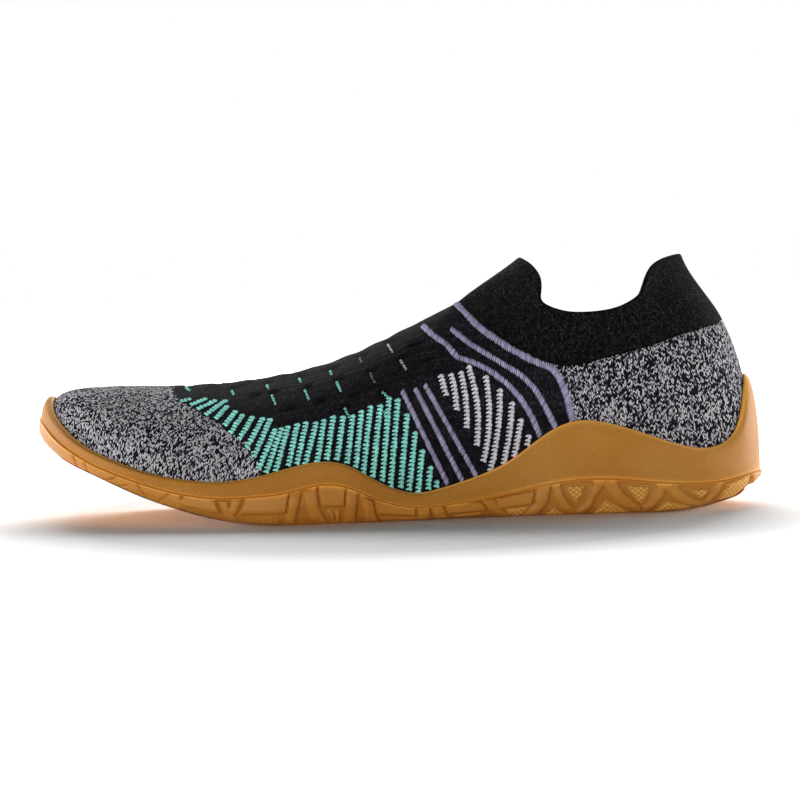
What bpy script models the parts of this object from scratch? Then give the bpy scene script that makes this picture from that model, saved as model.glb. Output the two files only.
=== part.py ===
"""Left barefoot shoe: knit body, ribbed collar, gum rubber cup sole, insole.

Metres, +Z up. The toe points to -X, the outer side of the foot is -Y, the floor is z = 0.
Every surface comes from one family of curves that climb from the feather line, where the
knit meets the sole, to the ridge of the vamp or to the cuff line.  The number `way` runs
from -1 at the toe tip over 0 (end of the toe fan) and 1 (front of the cuff) to 2 (heel back).
"""

import math

import bmesh
import bpy
import numpy as np

# Sizes of the whole shoe
LENGTH = 0.278
BALL_WIDTH = 0.100
INSTEP_HEIGHT = 0.080
COLLAR_HEIGHT = 0.097

# Thicknesses
KNIT = 0.0020
RIB_KNIT = 0.0022
CUP_WALL = 0.0026
CUP_LIP = 0.0012
STEP = 0.0007
SOLE_FLOOR = 0.0048
INSOLE = 0.0030
GAP = 0.0003

# Mesh fineness
STATIONS = 52
BODY_ROWS = 7
COLLAR_STATIONS = 27
COLLAR_ROWS = 6
LADDER = 5

# Plan outline of the sole at its widest.
# way, outer side: share of length, share of ball width; inner side: the same
OUTLINE = (
    (-1.00, 1.000, 0.100, 1.000, 0.100),
    (-0.80, 0.992, -0.005, 0.996, 0.180),
    (-0.60, 0.972, -0.105, 0.980, 0.260),
    (-0.35, 0.940, -0.210, 0.948, 0.350),
    (-0.10, 0.897, -0.315, 0.900, 0.425),
    (0.10, 0.852, -0.395, 0.850, 0.470),
    (0.30, 0.790, -0.455, 0.788, 0.500),
    (0.50, 0.715, -0.490, 0.715, 0.500),
    (0.70, 0.630, -0.490, 0.630, 0.455),
    (0.85, 0.560, -0.460, 0.560, 0.400),
    (1.00, 0.480, -0.415, 0.480, 0.345),
    (1.15, 0.400, -0.375, 0.400, 0.315),
    (1.30, 0.320, -0.345, 0.320, 0.313),
    (1.45, 0.240, -0.333, 0.240, 0.325),
    (1.60, 0.165, -0.328, 0.165, 0.328),
    (1.75, 0.090, -0.300, 0.090, 0.300),
    (1.87, 0.035, -0.220, 0.035, 0.220),
    (1.95, 0.008, -0.110, 0.008, 0.110),
    (2.00, 0.000, 0.000, 0.000, 0.000),
)

# Ridge of the vamp.
# way, share of length, share of ball width, share of instep height
RIDGE = (
    (0.00, 0.840, 0.120, 0.630),
    (0.15, 0.790, 0.115, 0.630),
    (0.30, 0.730, 0.100, 0.640),
    (0.50, 0.640, 0.080, 0.684),
    (0.70, 0.556, 0.060, 0.770),
    (0.85, 0.486, 0.040, 0.880),
    (1.00, 0.414, 0.020, 1.000),
)

# Cuff line, where the ribbed collar starts.
# way, share of length, outer and inner share of ball width, share of instep height
CUFF = (
    (1.00, 0.414, 0.020, 0.020, 1.000),
    (1.08, 0.399, -0.085, 0.120, 0.945),
    (1.16, 0.372, -0.180, 0.200, 0.868),
    (1.26, 0.330, -0.245, 0.255, 0.770),
    (1.38, 0.275, -0.270, 0.270, 0.700),
    (1.50, 0.220, -0.270, 0.270, 0.728),
    (1.62, 0.165, -0.255, 0.255, 0.774),
    (1.75, 0.113, -0.210, 0.210, 0.828),
    (1.87, 0.072, -0.135, 0.135, 0.863),
    (1.95, 0.052, -0.055, 0.055, 0.878),
    (2.00, 0.047, 0.000, 0.000, 0.880),
)

# Direction of the knit as it reaches the cuff line: backward, inward, upward
RISE = (
    (1.00, 0.61, 0.74, 0.27),
    (1.08, 0.48, 0.70, 0.50),
    (1.16, 0.33, 0.62, 0.70),
    (1.26, 0.15, 0.45, 0.88),
    (1.38, 0.05, 0.30, 0.95),
    (1.50, 0.00, 0.25, 0.97),
    (1.62, -0.04, 0.25, 0.97),
    (1.75, -0.16, 0.24, 0.95),
    (1.87, -0.30, 0.15, 0.94),
    (2.00, -0.42, 0.00, 0.91),
)

# Direction of the ribs as they leave the cuff line: backward, inward, upward
RIB_RISE = (
    (1.00, 0.78, 0.00, 0.63),
    (1.08, 0.66, 0.36, 0.66),
    (1.16, 0.46, 0.52, 0.72),
    (1.26, 0.20, 0.44, 0.87),
    (1.38, 0.05, 0.30, 0.95),
    (1.50, 0.00, 0.25, 0.97),
    (1.62, -0.04, 0.25, 0.97),
    (1.75, -0.16, 0.24, 0.95),
    (1.87, -0.30, 0.15, 0.94),
    (2.00, -0.42, 0.00, 0.91),
)

# Turn of the knit towards the heel where it reaches the ridge, in degrees
TURN = (
    (-1.00, 90.0),
    (-0.80, 66.0),
    (-0.60, 46.0),
    (-0.35, 26.0),
    (-0.10, 11.0),
    (0.10, 3.0),
    (0.30, 0.0),
    (0.60, 4.0),
    (0.80, 18.0),
    (1.00, 42.0),
)

# Pull of the curves.
# way, share of the chord held upright at the sole, share held along the top
PULL = (
    (-1.00, 0.50, 0.80),
    (-0.60, 0.44, 0.72),
    (-0.10, 0.36, 0.55),
    (0.50, 0.34, 0.40),
    (1.00, 0.40, 0.34),
    (1.40, 0.42, 0.34),
    (2.00, 0.40, 0.36),
)

# Rim of the collar.
# way, outer side: share of length, of ball width, of collar height; inner side: the same
RIM = (
    (1.00, 0.326, 0.010, 1.002, 0.326, 0.010, 1.002),
    (1.06, 0.318, -0.080, 0.986, 0.318, 0.100, 0.984),
    (1.11, 0.310, -0.130, 0.960, 0.311, 0.150, 0.955),
    (1.15, 0.305, -0.165, 0.931, 0.306, 0.182, 0.924),
    (1.19, 0.305, -0.195, 0.892, 0.306, 0.207, 0.884),
    (1.22, 0.306, -0.212, 0.859, 0.307, 0.220, 0.850),
    (1.25, 0.303, -0.225, 0.832, 0.303, 0.229, 0.822),
    (1.29, 0.294, -0.237, 0.811, 0.293, 0.239, 0.800),
    (1.34, 0.279, -0.247, 0.794, 0.277, 0.247, 0.783),
    (1.41, 0.256, -0.255, 0.783, 0.254, 0.255, 0.771),
    (1.50, 0.215, -0.260, 0.789, 0.211, 0.260, 0.771),
    (1.60, 0.182, -0.247, 0.820, 0.172, 0.247, 0.800),
    (1.68, 0.164, -0.220, 0.860, 0.153, 0.220, 0.842),
    (1.75, 0.156, -0.185, 0.912, 0.145, 0.185, 0.900),
    (1.83, 0.144, -0.140, 0.962, 0.136, 0.140, 0.955),
    (1.91, 0.123, -0.080, 0.988, 0.121, 0.080, 0.986),
    (2.00, 0.104, 0.000, 1.000, 0.104, 0.000, 1.000),
)

# Lean of the ribs towards the heel as they reach the rim, for one unit up
RIM_LEAN = (
    (1.00, 1.24),
    (1.08, 1.10),
    (1.16, 0.62),
    (1.26, 0.25),
    (1.38, 0.04),
    (1.50, 0.00),
    (1.67, 0.00),
    (1.75, -0.07),
    (1.87, -0.17),
    (2.00, -0.28),
)

# Underside of the sole at its middle: share of length, height as share of instep height
UNDERSIDE = (
    (0.000, 0.125),
    (0.025, 0.072),
    (0.057, 0.040),
    (0.090, 0.017),
    (0.126, 0.004),
    (0.160, 0.000),
    (0.300, 0.000),
    (0.500, 0.000),
    (0.640, 0.000),
    (0.720, 0.018),
    (0.790, 0.074),
    (0.860, 0.155),
    (0.910, 0.222),
    (0.950, 0.274),
    (0.975, 0.312),
    (1.000, 0.360),
)

# Top edge of the cup and the step of its side, with the lugs below.
# way, height of the top edge, height of the step, shares of instep height
CUP_LINES = (
    (-1.00, 0.580, 0.490),
    (-0.80, 0.530, 0.465),
    (-0.60, 0.460, 0.405),
    (-0.40, 0.396, 0.350),
    (-0.20, 0.340, 0.296),
    (0.00, 0.291, 0.245),
    (0.15, 0.250, 0.203),
    (0.30, 0.218, 0.160),
    (0.45, 0.207, 0.137),
    (0.55, 0.225, 0.140),
    (0.65, 0.261, 0.154),
    (0.75, 0.286, 0.185),
    (0.83, 0.265, 0.172),
    (0.90, 0.202, 0.120),
    (1.00, 0.130, 0.072),
    (1.07, 0.146, 0.075),
    (1.15, 0.189, 0.092),
    (1.25, 0.272, 0.124),
    (1.34, 0.390, 0.153),
    (1.42, 0.440, 0.168),
    (1.50, 0.425, 0.168),
    (1.60, 0.371, 0.152),
    (1.72, 0.303, 0.138),
    (1.82, 0.310, 0.144),
    (1.89, 0.405, 0.158),
    (1.95, 0.565, 0.160),
    (2.00, 0.623, 0.155),
)

# Pockets and slots in the side of the tread, the same on both sides.
# shape, share of length; then shares of the lug height: middle, width, height, lean to the toe
LUG_HEIGHT = 0.0100
SIDE_CUTS = (
    ("down", 0.104, 0.78, 0.75, 0.40, 0.00),
    ("down", 0.184, 0.78, 0.80, 0.64, 0.00),
    ("down", 0.267, 0.86, 0.62, 0.62, 0.00),
    ("up", 0.137, 0.36, 1.00, 0.30, 0.00),
    ("up", 0.222, 0.30, 1.10, 0.46, 0.00),
    ("up", 0.297, 0.26, 0.60, 0.34, 0.00),
    ("up", 0.348, 0.24, 0.70, 0.34, 0.00),
    ("slot", 0.322, 0.50, 0.11, 0.80, 0.30),
    ("slot", 0.378, 0.50, 0.11, 0.70, -0.22),
    ("slot", 0.432, 0.34, 0.11, 0.44, -0.12),
    ("slot", 0.478, 0.30, 0.11, 0.40, 0.12),
    ("slot", 0.530, 0.42, 0.11, 0.58, 0.26),
    ("slot", 0.552, 0.58, 0.12, 0.80, 0.28),
    ("slot", 0.572, 0.72, 0.14, 1.10, 0.16),
    ("slot", 0.608, 0.80, 0.14, 1.20, -0.16),
    ("slot", 0.632, 0.70, 0.12, 1.00, -0.28),
    ("slot", 0.652, 0.60, 0.11, 0.80, -0.26),
    ("slot", 0.708, 0.66, 0.12, 0.70, -0.12),
    ("slot", 0.742, 0.80, 0.12, 0.74, 0.14),
    ("slot", 0.790, 1.18, 0.12, 0.78, 0.26),
    ("slot", 0.840, 1.76, 0.12, 0.70, 0.30),
    ("slot", 0.888, 2.40, 0.11, 0.60, 0.30),
    ("slot", 0.925, 2.90, 0.11, 0.50, 0.30),
)
SIDE_CUT_DEPTH = 0.0009

# Grooves across the tread: share of length, bow of the middle in groove widths
TREAD_CUTS = (
    (0.085, 1.0),
    (0.125, 1.0),
    (0.165, 1.0),
    (0.205, 1.0),
    (0.245, 1.0),
    (0.300, 0.0),
    (0.360, 0.0),
    (0.420, 0.0),
    (0.480, 0.0),
    (0.540, -1.0),
    (0.580, -1.3),
    (0.620, -1.7),
    (0.660, -1.7),
    (0.700, -1.7),
    (0.740, -1.7),
    (0.780, -1.7),
    (0.820, -1.3),
    (0.860, -1.3),
    (0.900, -1.0),
)
TREAD_CUT_WIDTH = 0.0030
TREAD_CUT_DEPTH = 0.0013
TREAD_MARGIN = 0.0100
CUTTER_REACH = 0.0040

# Roll of the tread's edge: share of the lug band's height, inset as share of the edge
TREAD_EDGE = 0.0060
EDGE_ROLL = (
    (0.00, 1.00),
    (0.06, 0.50),
    (0.22, 0.17),
    (0.55, -0.07),
    (1.00, -0.10),
)


def spline(table, column, at, flat=False):
    """Smooth curve through one column of a table, keyed by its first column."""
    key = np.array([row[0] for row in table])
    value = np.array([row[column] for row in table])
    span = np.diff(key)
    slope = np.diff(value) / span
    size = len(key)
    left = np.zeros((size, size))
    right = np.zeros(size)
    left[0, 0] = left[-1, -1] = 1.0
    right[0] = 0.0 if flat else slope[0]
    right[-1] = 0.0 if flat else slope[-1]
    for k in range(1, size - 1):
        left[k, k - 1] = span[k]
        left[k, k] = 2.0 * (span[k - 1] + span[k])
        left[k, k + 1] = span[k - 1]
        right[k] = 3.0 * (span[k] * slope[k - 1] + span[k - 1] * slope[k])
    tangent = np.linalg.solve(left, right)
    at = np.clip(np.asarray(at, dtype=float), key[0], key[-1])
    k = np.clip(np.searchsorted(key, at, side="right") - 1, 0, size - 2)
    f = (at - key[k]) / span[k]
    low = (1 + 2 * f) * (1 - f) ** 2 * value[k] + f * (1 - f) ** 2 * span[k] * tangent[k]
    high = f * f * (3 - 2 * f) * value[k + 1] - f * f * (1 - f) * span[k] * tangent[k + 1]
    return low + high


def unit(vectors):
    return vectors / np.linalg.norm(vectors, axis=-1, keepdims=True)


def shoe_point(along, across, height):
    """Point from the share of length (heel 0, toe 1), metres across and metres up."""
    return np.stack([LENGTH * (0.5 - along), across, height + 0.0 * along], axis=-1)


def outline(side, way):
    """Widest line of the sole in plan and its outward direction."""
    column = 1 if side < 0 else 3
    step = 0.004
    low = np.maximum(way - step, -1.0)
    high = np.minimum(way + step, 2.0)
    points = []
    for w in (way, low, high):
        along = spline(OUTLINE, column, w, True)
        across = spline(OUTLINE, column + 1, w) * BALL_WIDTH
        points.append(shoe_point(along, across, 0.0 * along))
    run = unit(points[2] - points[1])
    out = np.stack([-run[..., 1] * side, run[..., 0] * side, 0.0 * way], axis=-1)
    middle = (way <= -1.0) | (way >= 2.0)
    straight = np.stack([np.where(way < 0, -1.0, 1.0), 0.0 * way, 0.0 * way], axis=-1)
    out = np.where(middle[..., None], straight, out)
    return points[0], out


def underside(x):
    """Height of the tread's underside, never below the floor."""
    return np.maximum(spline(UNDERSIDE, 1, 0.5 - x / LENGTH), 0.0) * INSTEP_HEIGHT


def floor_top(x):
    return underside(x) * 0.9 + SOLE_FLOOR


def ridge(way):
    w = np.clip(way, 0.0, 1.0)
    across = spline(RIDGE, 2, w) * BALL_WIDTH
    return shoe_point(spline(RIDGE, 1, w), across, spline(RIDGE, 3, w) * INSTEP_HEIGHT)


def cuff(side, way):
    w = np.clip(way, 1.0, 2.0)
    across = spline(CUFF, 2 if side < 0 else 3, w) * BALL_WIDTH
    return shoe_point(spline(CUFF, 1, w, True), across, spline(CUFF, 4, w, True) * INSTEP_HEIGHT)


def rim(side, way):
    w = np.clip(way, 1.0, 2.0)
    first = 1 if side < 0 else 4
    across = spline(RIM, first + 1, w) * BALL_WIDTH
    return shoe_point(spline(RIM, first, w, True), across, spline(RIM, first + 2, w, True) * COLLAR_HEIGHT)


def rise(side, way):
    """Direction in which the knit reaches the ridge or the cuff line."""
    run = unit(ridge(np.clip(way, 0.0, 0.98) + 0.02) - ridge(np.clip(way, 0.0, 0.98)))
    turn = np.radians(spline(TURN, 1, np.clip(way, -1.0, 1.0)))
    inward = np.zeros_like(run)
    inward[..., 1] = -side
    on_ridge = np.cos(turn)[..., None] * inward + np.sin(turn)[..., None] * run
    w = np.clip(way, 1.0, 2.0)
    on_cuff = np.stack([spline(RISE, 1, w), -side * spline(RISE, 2, w), spline(RISE, 3, w)], axis=-1)
    return unit(np.where((way <= 1.0)[..., None], on_ridge, on_cuff))


def curve(start, start_pull, end_pull, end, v):
    """Cubic curve with its two inner control points."""
    v = v[..., None]
    a = (1 - v) ** 3 * start + 3 * v * (1 - v) ** 2 * start_pull
    return a + 3 * v * v * (1 - v) * end_pull + v ** 3 * end


def knit(side, way, v):
    """Outside of the knit body, v from 0 at the feather line to 1 at the top."""
    way, v = np.broadcast_arrays(np.asarray(way, float), np.asarray(v, float))
    edge, out = outline(side, way)
    start = edge - out * (CUP_WALL + GAP)
    start[..., 2] = floor_top(start[..., 0]) + GAP
    end = np.where((way <= 1.0)[..., None], ridge(way), cuff(side, way))
    chord = np.linalg.norm(end - start, axis=-1)
    up = np.array([0.0, 0.0, 1.0])
    low = start + up * (chord * spline(PULL, 1, way))[..., None]
    high = end - rise(side, way) * (chord * spline(PULL, 2, way))[..., None]
    return curve(start, low, high, end, v)


def collar_skin(side, way, v):
    """Outside of the collar, v from 0 at the cuff line to 1 at the rim."""
    way, v = np.broadcast_arrays(np.asarray(way, float), np.asarray(v, float))
    start = cuff(side, way)
    end = rim(side, way)
    chord = np.linalg.norm(end - start, axis=-1)[..., None]
    inward = -side * spline(RIB_RISE, 2, way)
    leave = unit(np.stack([spline(RIB_RISE, 1, way), inward, spline(RIB_RISE, 3, way)], axis=-1))
    start = start + leave * 2.0 * GAP
    low = start + leave * chord * 0.30
    back = spline(RIM_LEAN, 1, way)
    lift = unit(np.stack([back, -side * 0.10 * np.sin(np.pi * (way - 1.0)), 1.0 + 0.0 * way], axis=-1))
    high = end - lift * chord * 0.30
    return curve(start, low, high, end, v)


def normals(surface, side, way, v):
    """Outward normals of a surface function, shared by both sides at toe tip and heel back."""
    way = np.asarray(way, float)
    own = side_normals(surface, side, way, v)
    other = side_normals(surface, -side, way, v) + 0.0 * own
    shared = ((way <= -1.0) | (way >= 2.0))[..., None] & np.ones(own.shape, bool)
    return unit(np.where(shared, own + other, own))


def side_normals(surface, side, way, v):
    """Outward normals of one side by small differences."""
    way, v = np.broadcast_arrays(np.asarray(way, float), np.asarray(v, float))
    step = 0.004
    top = surface is knit
    w0 = np.clip(way - step, -1.0 if top else 1.0, 2.0 - step)
    w1 = w0 + step
    v0 = np.clip(v - step, 0.0, 1.0 - step)
    across = surface(side, w1, v) - surface(side, w0, v)
    climb = surface(side, way, v0 + step) - surface(side, way, v0)
    face = np.cross(across, climb) * -side
    return unit(face)


def stations(first, last, count):
    """Values of way at equal steps along the outline, both ends kept."""
    fine = np.linspace(first, last, 400)
    line = 0.5 * (outline(-1, fine)[0] * (1, -1, 1) + outline(1, fine)[0])
    run = np.concatenate([[0.0], np.cumsum(np.linalg.norm(np.diff(line, axis=0), axis=1))])
    return np.interp(np.linspace(0.0, run[-1], count), run, fine)


def body_stations():
    front = stations(-1.0, 1.0, int(STATIONS * 0.60))
    back = stations(1.0, 2.0, int(STATIONS * 0.40) + 1)
    return np.concatenate([front, back[1:]])


def height_share(side, way, column):
    """Share of the knit curve at which it reaches the height of a line of the cup."""
    v = np.linspace(0.0, 1.0, 161)
    points = knit(side, way[:, None], v[None, :])
    line = spline(CUP_LINES, column, way, True)[:, None] * INSTEP_HEIGHT
    gap = line - points[..., 2]
    share = np.zeros(len(way))
    for k in range(len(way)):
        below = gap[k] > 0
        first = int(np.argmin(below)) if not below.all() else 160
        if first == 0:
            share[k] = 0.0
            continue
        a, b = gap[k, first - 1], gap[k, first]
        share[k] = v[first - 1] + (v[first] - v[first - 1]) * a / (a - b)
    return share


def colour_material(name, colour, roughness):
    material = bpy.data.materials.new(name)
    material.use_nodes = True
    shader = material.node_tree.nodes["Principled BSDF"]
    shader.inputs["Base Color"].default_value = (*colour, 1.0)
    shader.inputs["Roughness"].default_value = roughness
    shader.inputs["Metallic"].default_value = 0.0
    material.diffuse_color = (*colour, 1.0)
    return material


def mesh_object(name, points, faces, material, collection):
    """Object from loose quads whose equal corners are joined."""
    mesh = bpy.data.meshes.new(name)
    work = bmesh.new()
    corners = [work.verts.new(p) for p in points]
    for face in faces:
        ring = [corners[k] for k in face]
        if len(set(ring)) > 2:
            work.faces.new(ring)
    bmesh.ops.remove_doubles(work, verts=work.verts, dist=1e-6)
    bmesh.ops.dissolve_degenerate(work, edges=work.edges, dist=1e-6)
    bmesh.ops.recalc_face_normals(work, faces=work.faces)
    work.to_mesh(mesh)
    work.free()
    mesh.materials.append(material)
    thing = bpy.data.objects.new(name, mesh)
    collection.objects.link(thing)
    return thing


def grid_faces(rows, columns, first=0):
    faces = []
    for i in range(rows - 1):
        for j in range(columns - 1):
            a = first + i * columns + j
            faces.append((a, a + 1, a + columns + 1, a + columns))
    return faces


def sheet(name, surface, ways, rows, material, collection):
    """Both sides of a surface function as one sheet."""
    share = np.linspace(0.0, 1.0, rows + 1)
    points = []
    faces = []
    for side in (-1, 1):
        grid = surface(side, ways[:, None], share[None, :])
        faces += grid_faces(len(ways), rows + 1, len(points))
        points += [tuple(p) for p in grid.reshape(-1, 3)]
    return mesh_object(name, points, faces, material, collection)


def thicken(thing, thickness, outward):
    wall = thing.modifiers.new("wall", "SOLIDIFY")
    wall.thickness = thickness
    wall.offset = 1.0 if outward else -1.0
    wall.use_even_offset = True
    wall.use_quality_normals = True


def smooth(thing, degrees):
    for polygon in thing.data.polygons:
        polygon.use_smooth = True
    thing.data.set_sharp_from_angle(angle=math.radians(degrees))


def ladder(ways, inset, height):
    """Rungs from the outer to the inner side, inset from the outline, as points."""
    outer, outer_out = outline(-1, ways)
    inner, inner_out = outline(1, ways)
    outer = outer - outer_out * inset
    inner = inner - inner_out * inset
    share = np.linspace(0.0, 1.0, LADDER + 1)[None, :, None]
    rungs = outer[:, None, :] * (1 - share) + inner[:, None, :] * share
    rungs[..., 2] = height(rungs[..., 0])
    return rungs


def closed_loft(name, ways, profile, inset_top, top_height, inset_low, low_height, material, collection):
    """Ring of profiles closed above and below by ladders."""
    points = []
    faces = []
    for side in (-1, 1):
        rings = profile(side, ways)
        faces += grid_faces(len(ways), rings.shape[1], len(points))
        points += [tuple(p) for p in rings.reshape(-1, 3)]
    for inset, height in ((inset_top, top_height), (inset_low, low_height)):
        rungs = ladder(ways, inset, height)
        faces += grid_faces(len(ways), LADDER + 1, len(points))
        points += [tuple(p) for p in rungs.reshape(-1, 3)]
    return mesh_object(name, points, faces, material, collection)


def cup_profile(side, ways):
    """Cup section: floor edge, inner wall, lip, outer wall, step, flank, tread edge."""
    edge, out = outline(side, ways)
    top = height_share(side, ways, 1)
    step = height_share(side, ways, 2)
    step = np.minimum(step, top - 0.04)
    points = []
    floor_edge = edge - out * (CUP_WALL + GAP + KNIT * 0.5)
    floor_edge[:, 2] = floor_top(floor_edge[:, 0])
    points.append(floor_edge)
    for share in (0.0, 0.35, 0.70, 1.0):
        v = top * share
        away = GAP
        points.append(knit(side, ways, v) + normals(knit, side, ways, v) * away)
    points[1][:, 2] = floor_top(points[1][:, 0])
    points.append(knit(side, ways, top) + normals(knit, side, ways, top) * (GAP + CUP_LIP))
    for share in (0.93, 0.70, 0.35, 0.02):
        v = step + (top - step) * share
        wall = CUP_WALL if share < 0.9 else CUP_WALL * 0.85
        points.append(knit(side, ways, v) + normals(knit, side, ways, v) * (GAP + wall))
    foot = points[-1].copy()
    foot_out = normals(knit, side, ways, step)
    points.append(foot + foot_out * STEP - np.array([0.0, 0.0, STEP]))
    low = underside(edge[:, 0])
    high = points[-1][:, 2]
    tall = np.maximum(high - low, 0.3 * LUG_HEIGHT)
    for share, inset in EDGE_ROLL[-2::-1]:
        p = edge - out * inset * TREAD_EDGE
        p[:, 2] = underside(p[:, 0]) + tall * share
        points.append(p)
    return np.stack(points, axis=1)


def insole_profile(side, ways):
    edge, out = outline(side, ways)
    line = edge - out * (CUP_WALL + KNIT + 3 * GAP)
    points = []
    for lift in (INSOLE, 0.0):
        p = line.copy()
        p[:, 2] = floor_top(p[:, 0]) + GAP + lift
        points.append(p)
    return np.stack(points, axis=1)


def side_cut_outline(shape, wide, tall):
    """Corners of a pocket in its own plane, along the shoe and up."""
    if shape == "slot":
        corners = ((-0.5, -0.5), (0.5, -0.5), (0.5, 0.5), (-0.5, 0.5))
    elif shape == "up":
        corners = ((-0.5, -0.5), (0.5, -0.5), (0.34, 0.1), (0.12, 0.5), (-0.12, 0.5), (-0.34, 0.1))
    else:
        corners = ((-0.5, 0.5), (-0.5, 0.25), (-0.14, -0.5), (0.14, -0.5), (0.5, 0.25), (0.5, 0.5))
    return [(a * wide, b * tall) for a, b in corners]


def way_of(side, along):
    """Value of way where one side of the outline has the given share of length."""
    fine = np.linspace(-0.98, 1.98, 600)
    share = 0.5 - outline(side, fine)[0][:, 0] / LENGTH
    return np.interp(-along, -share, fine)


def side_cutters(work):
    """Prisms that stand in the flank of the tread."""
    for side in (-1, 1):
        for shape, along, *shares in SIDE_CUTS:
            height, wide, tall, lean = (share * LUG_HEIGHT for share in shares)
            near = []
            far = []
            for a, b in side_cut_outline(shape, wide, tall):
                share = along + (a + lean * (b / tall + 0.5)) / LENGTH
                way = np.array(way_of(side, share))
                edge, out = outline(side, way)
                low = float(underside(edge[0]))
                step = float(spline(CUP_LINES, 2, way, True)) * INSTEP_HEIGHT
                level = max(height + b, low + 0.02 * LUG_HEIGHT)
                flank = (level - low) / max(step - low, 0.3 * LUG_HEIGHT)
                inset = np.interp(flank, *np.transpose(EDGE_ROLL)) * TREAD_EDGE
                deep = edge - out * (inset + SIDE_CUT_DEPTH)
                wide_out = edge + out * CUTTER_REACH
                far.append((deep[0], deep[1], level))
                near.append((wide_out[0], wide_out[1], level))
            prism(work, near, far)


def tread_cutters(work):
    """Prisms that stand in the underside of the tread."""
    wide = TREAD_CUT_WIDTH
    for along, bow in TREAD_CUTS:
        corners = []
        for share in (0.0, 0.5, 1.0):
            corners.append((share, -0.5))
        for share in (1.0, 0.5, 0.0):
            corners.append((share, 0.5))
        top = []
        low = []
        for share, part in corners:
            x = LENGTH * (0.5 - along) + wide * part + bow * wide * 4.0 * share * (1.0 - share)
            ends = []
            for side in (-1, 1):
                way = way_of(side, 0.5 - x / LENGTH)
                ends.append(float(outline(side, np.array(way))[0][1]) - side * TREAD_MARGIN)
            y = ends[0] * (1.0 - share) + ends[1] * share
            level = float(underside(x))
            top.append((x, y, level + TREAD_CUT_DEPTH))
            low.append((x, y, level - CUTTER_REACH))
        prism(work, top, low)


def prism(work, first, second):
    top = [work.verts.new(p) for p in first]
    low = [work.verts.new(p) for p in second]
    work.faces.new(top)
    work.faces.new(low[::-1])
    for k in range(len(top)):
        m = (k + 1) % len(top)
        work.faces.new((top[m], top[k], low[k], low[m]))


def cut(thing, name, fill, collection):
    """Take the prisms out of a solid."""
    work = bmesh.new()
    fill(work)
    bmesh.ops.recalc_face_normals(work, faces=work.faces)
    mesh = bpy.data.meshes.new(name)
    work.to_mesh(mesh)
    work.free()
    cutter = bpy.data.objects.new(name, mesh)
    collection.objects.link(cutter)
    cutter.hide_render = True
    cutter.display_type = "WIRE"
    difference = thing.modifiers.new(name, "BOOLEAN")
    difference.operation = "DIFFERENCE"
    difference.solver = "EXACT"
    difference.object = cutter


def build():
    for thing in list(bpy.data.objects):
        bpy.data.objects.remove(thing, do_unlink=True)
    collection = bpy.data.collections.new("barefoot_shoe")
    bpy.context.scene.collection.children.link(collection)
    knit_material = colour_material("knit_marl", (0.16, 0.15, 0.18), 0.95)
    rib_material = colour_material("rib_black", (0.012, 0.012, 0.014), 0.9)
    gum_material = colour_material("gum_rubber", (0.58, 0.29, 0.065), 0.5)
    foam_material = colour_material("footbed", (0.03, 0.03, 0.035), 0.9)

    body_ways = body_stations()
    upper = sheet("upper", knit, body_ways, BODY_ROWS, knit_material, collection)
    thicken(upper, KNIT, False)
    smooth(upper, 60)

    collar_ways = stations(1.0, 2.0, COLLAR_STATIONS)
    collar = sheet("collar", collar_skin, collar_ways, COLLAR_ROWS, rib_material, collection)
    thicken(collar, RIB_KNIT, False)
    smooth(collar, 60)

    inset = CUP_WALL + GAP + KNIT * 0.5
    cup = closed_loft("cup_sole", body_ways, cup_profile, inset, floor_top, TREAD_EDGE, underside,
                      gum_material, collection)
    smooth(cup, 35)
    cutters = bpy.data.collections.new("cutters")
    bpy.context.scene.collection.children.link(cutters)
    cut(cup, "side_cutters", side_cutters, cutters)
    cut(cup, "tread_cutters", tread_cutters, cutters)

    inset = CUP_WALL + KNIT + 3 * GAP
    insole = closed_loft("insole", body_ways, insole_profile, inset,
                         lambda x: floor_top(x) + GAP + INSOLE, inset,
                         lambda x: floor_top(x) + GAP, foam_material, collection)
    smooth(insole, 35)


build()
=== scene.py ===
"""Left barefoot shoe, dressed: marl knit with raised stripes, ribbed collar, gum cup sole.

Metres, +Z up, toe to -X, outer side to -Y, floor at z = 0.  The curves that carry every
surface climb from the feather line, where the knit meets the sole, to the ridge of the vamp
or to the cuff line.  The number `way` runs from -1 at the toe tip over 0 (end of the toe fan)
and 1 (front of the cuff) to 2 (heel back).
"""

import functools
import math

import bmesh
import bpy
import numpy as np
from bpy.props import FloatProperty, FloatVectorProperty, IntProperty, PointerProperty
from mathutils import Matrix, Vector


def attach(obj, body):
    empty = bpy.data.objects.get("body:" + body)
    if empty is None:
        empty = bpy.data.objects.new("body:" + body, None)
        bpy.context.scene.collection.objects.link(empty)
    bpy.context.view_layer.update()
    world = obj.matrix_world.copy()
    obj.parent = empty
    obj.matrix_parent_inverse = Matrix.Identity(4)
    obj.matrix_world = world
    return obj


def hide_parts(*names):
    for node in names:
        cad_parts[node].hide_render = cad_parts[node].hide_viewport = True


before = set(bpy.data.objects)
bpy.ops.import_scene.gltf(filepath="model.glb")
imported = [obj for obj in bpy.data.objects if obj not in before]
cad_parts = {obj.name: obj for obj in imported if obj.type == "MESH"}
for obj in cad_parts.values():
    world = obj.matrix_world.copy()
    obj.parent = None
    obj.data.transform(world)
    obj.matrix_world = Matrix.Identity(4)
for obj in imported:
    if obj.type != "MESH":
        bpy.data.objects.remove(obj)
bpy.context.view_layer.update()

bl_info = {
    "name": "Knit Barefoot Shoe",
    "version": (1, 0, 0),
    "blender": (4, 5, 0),
    "location": "3D View > Sidebar > Shoe",
    "description": "Dresses a barefoot shoe in knit, rib and gum rubber",
    "category": "Object",
}

MM = 0.001
TO_MM = 1000.0

# Sizes of the whole shoe
LENGTH = 0.278
BALL_WIDTH = 0.100
INSTEP_HEIGHT = 0.080
COLLAR_HEIGHT = 0.097

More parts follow.
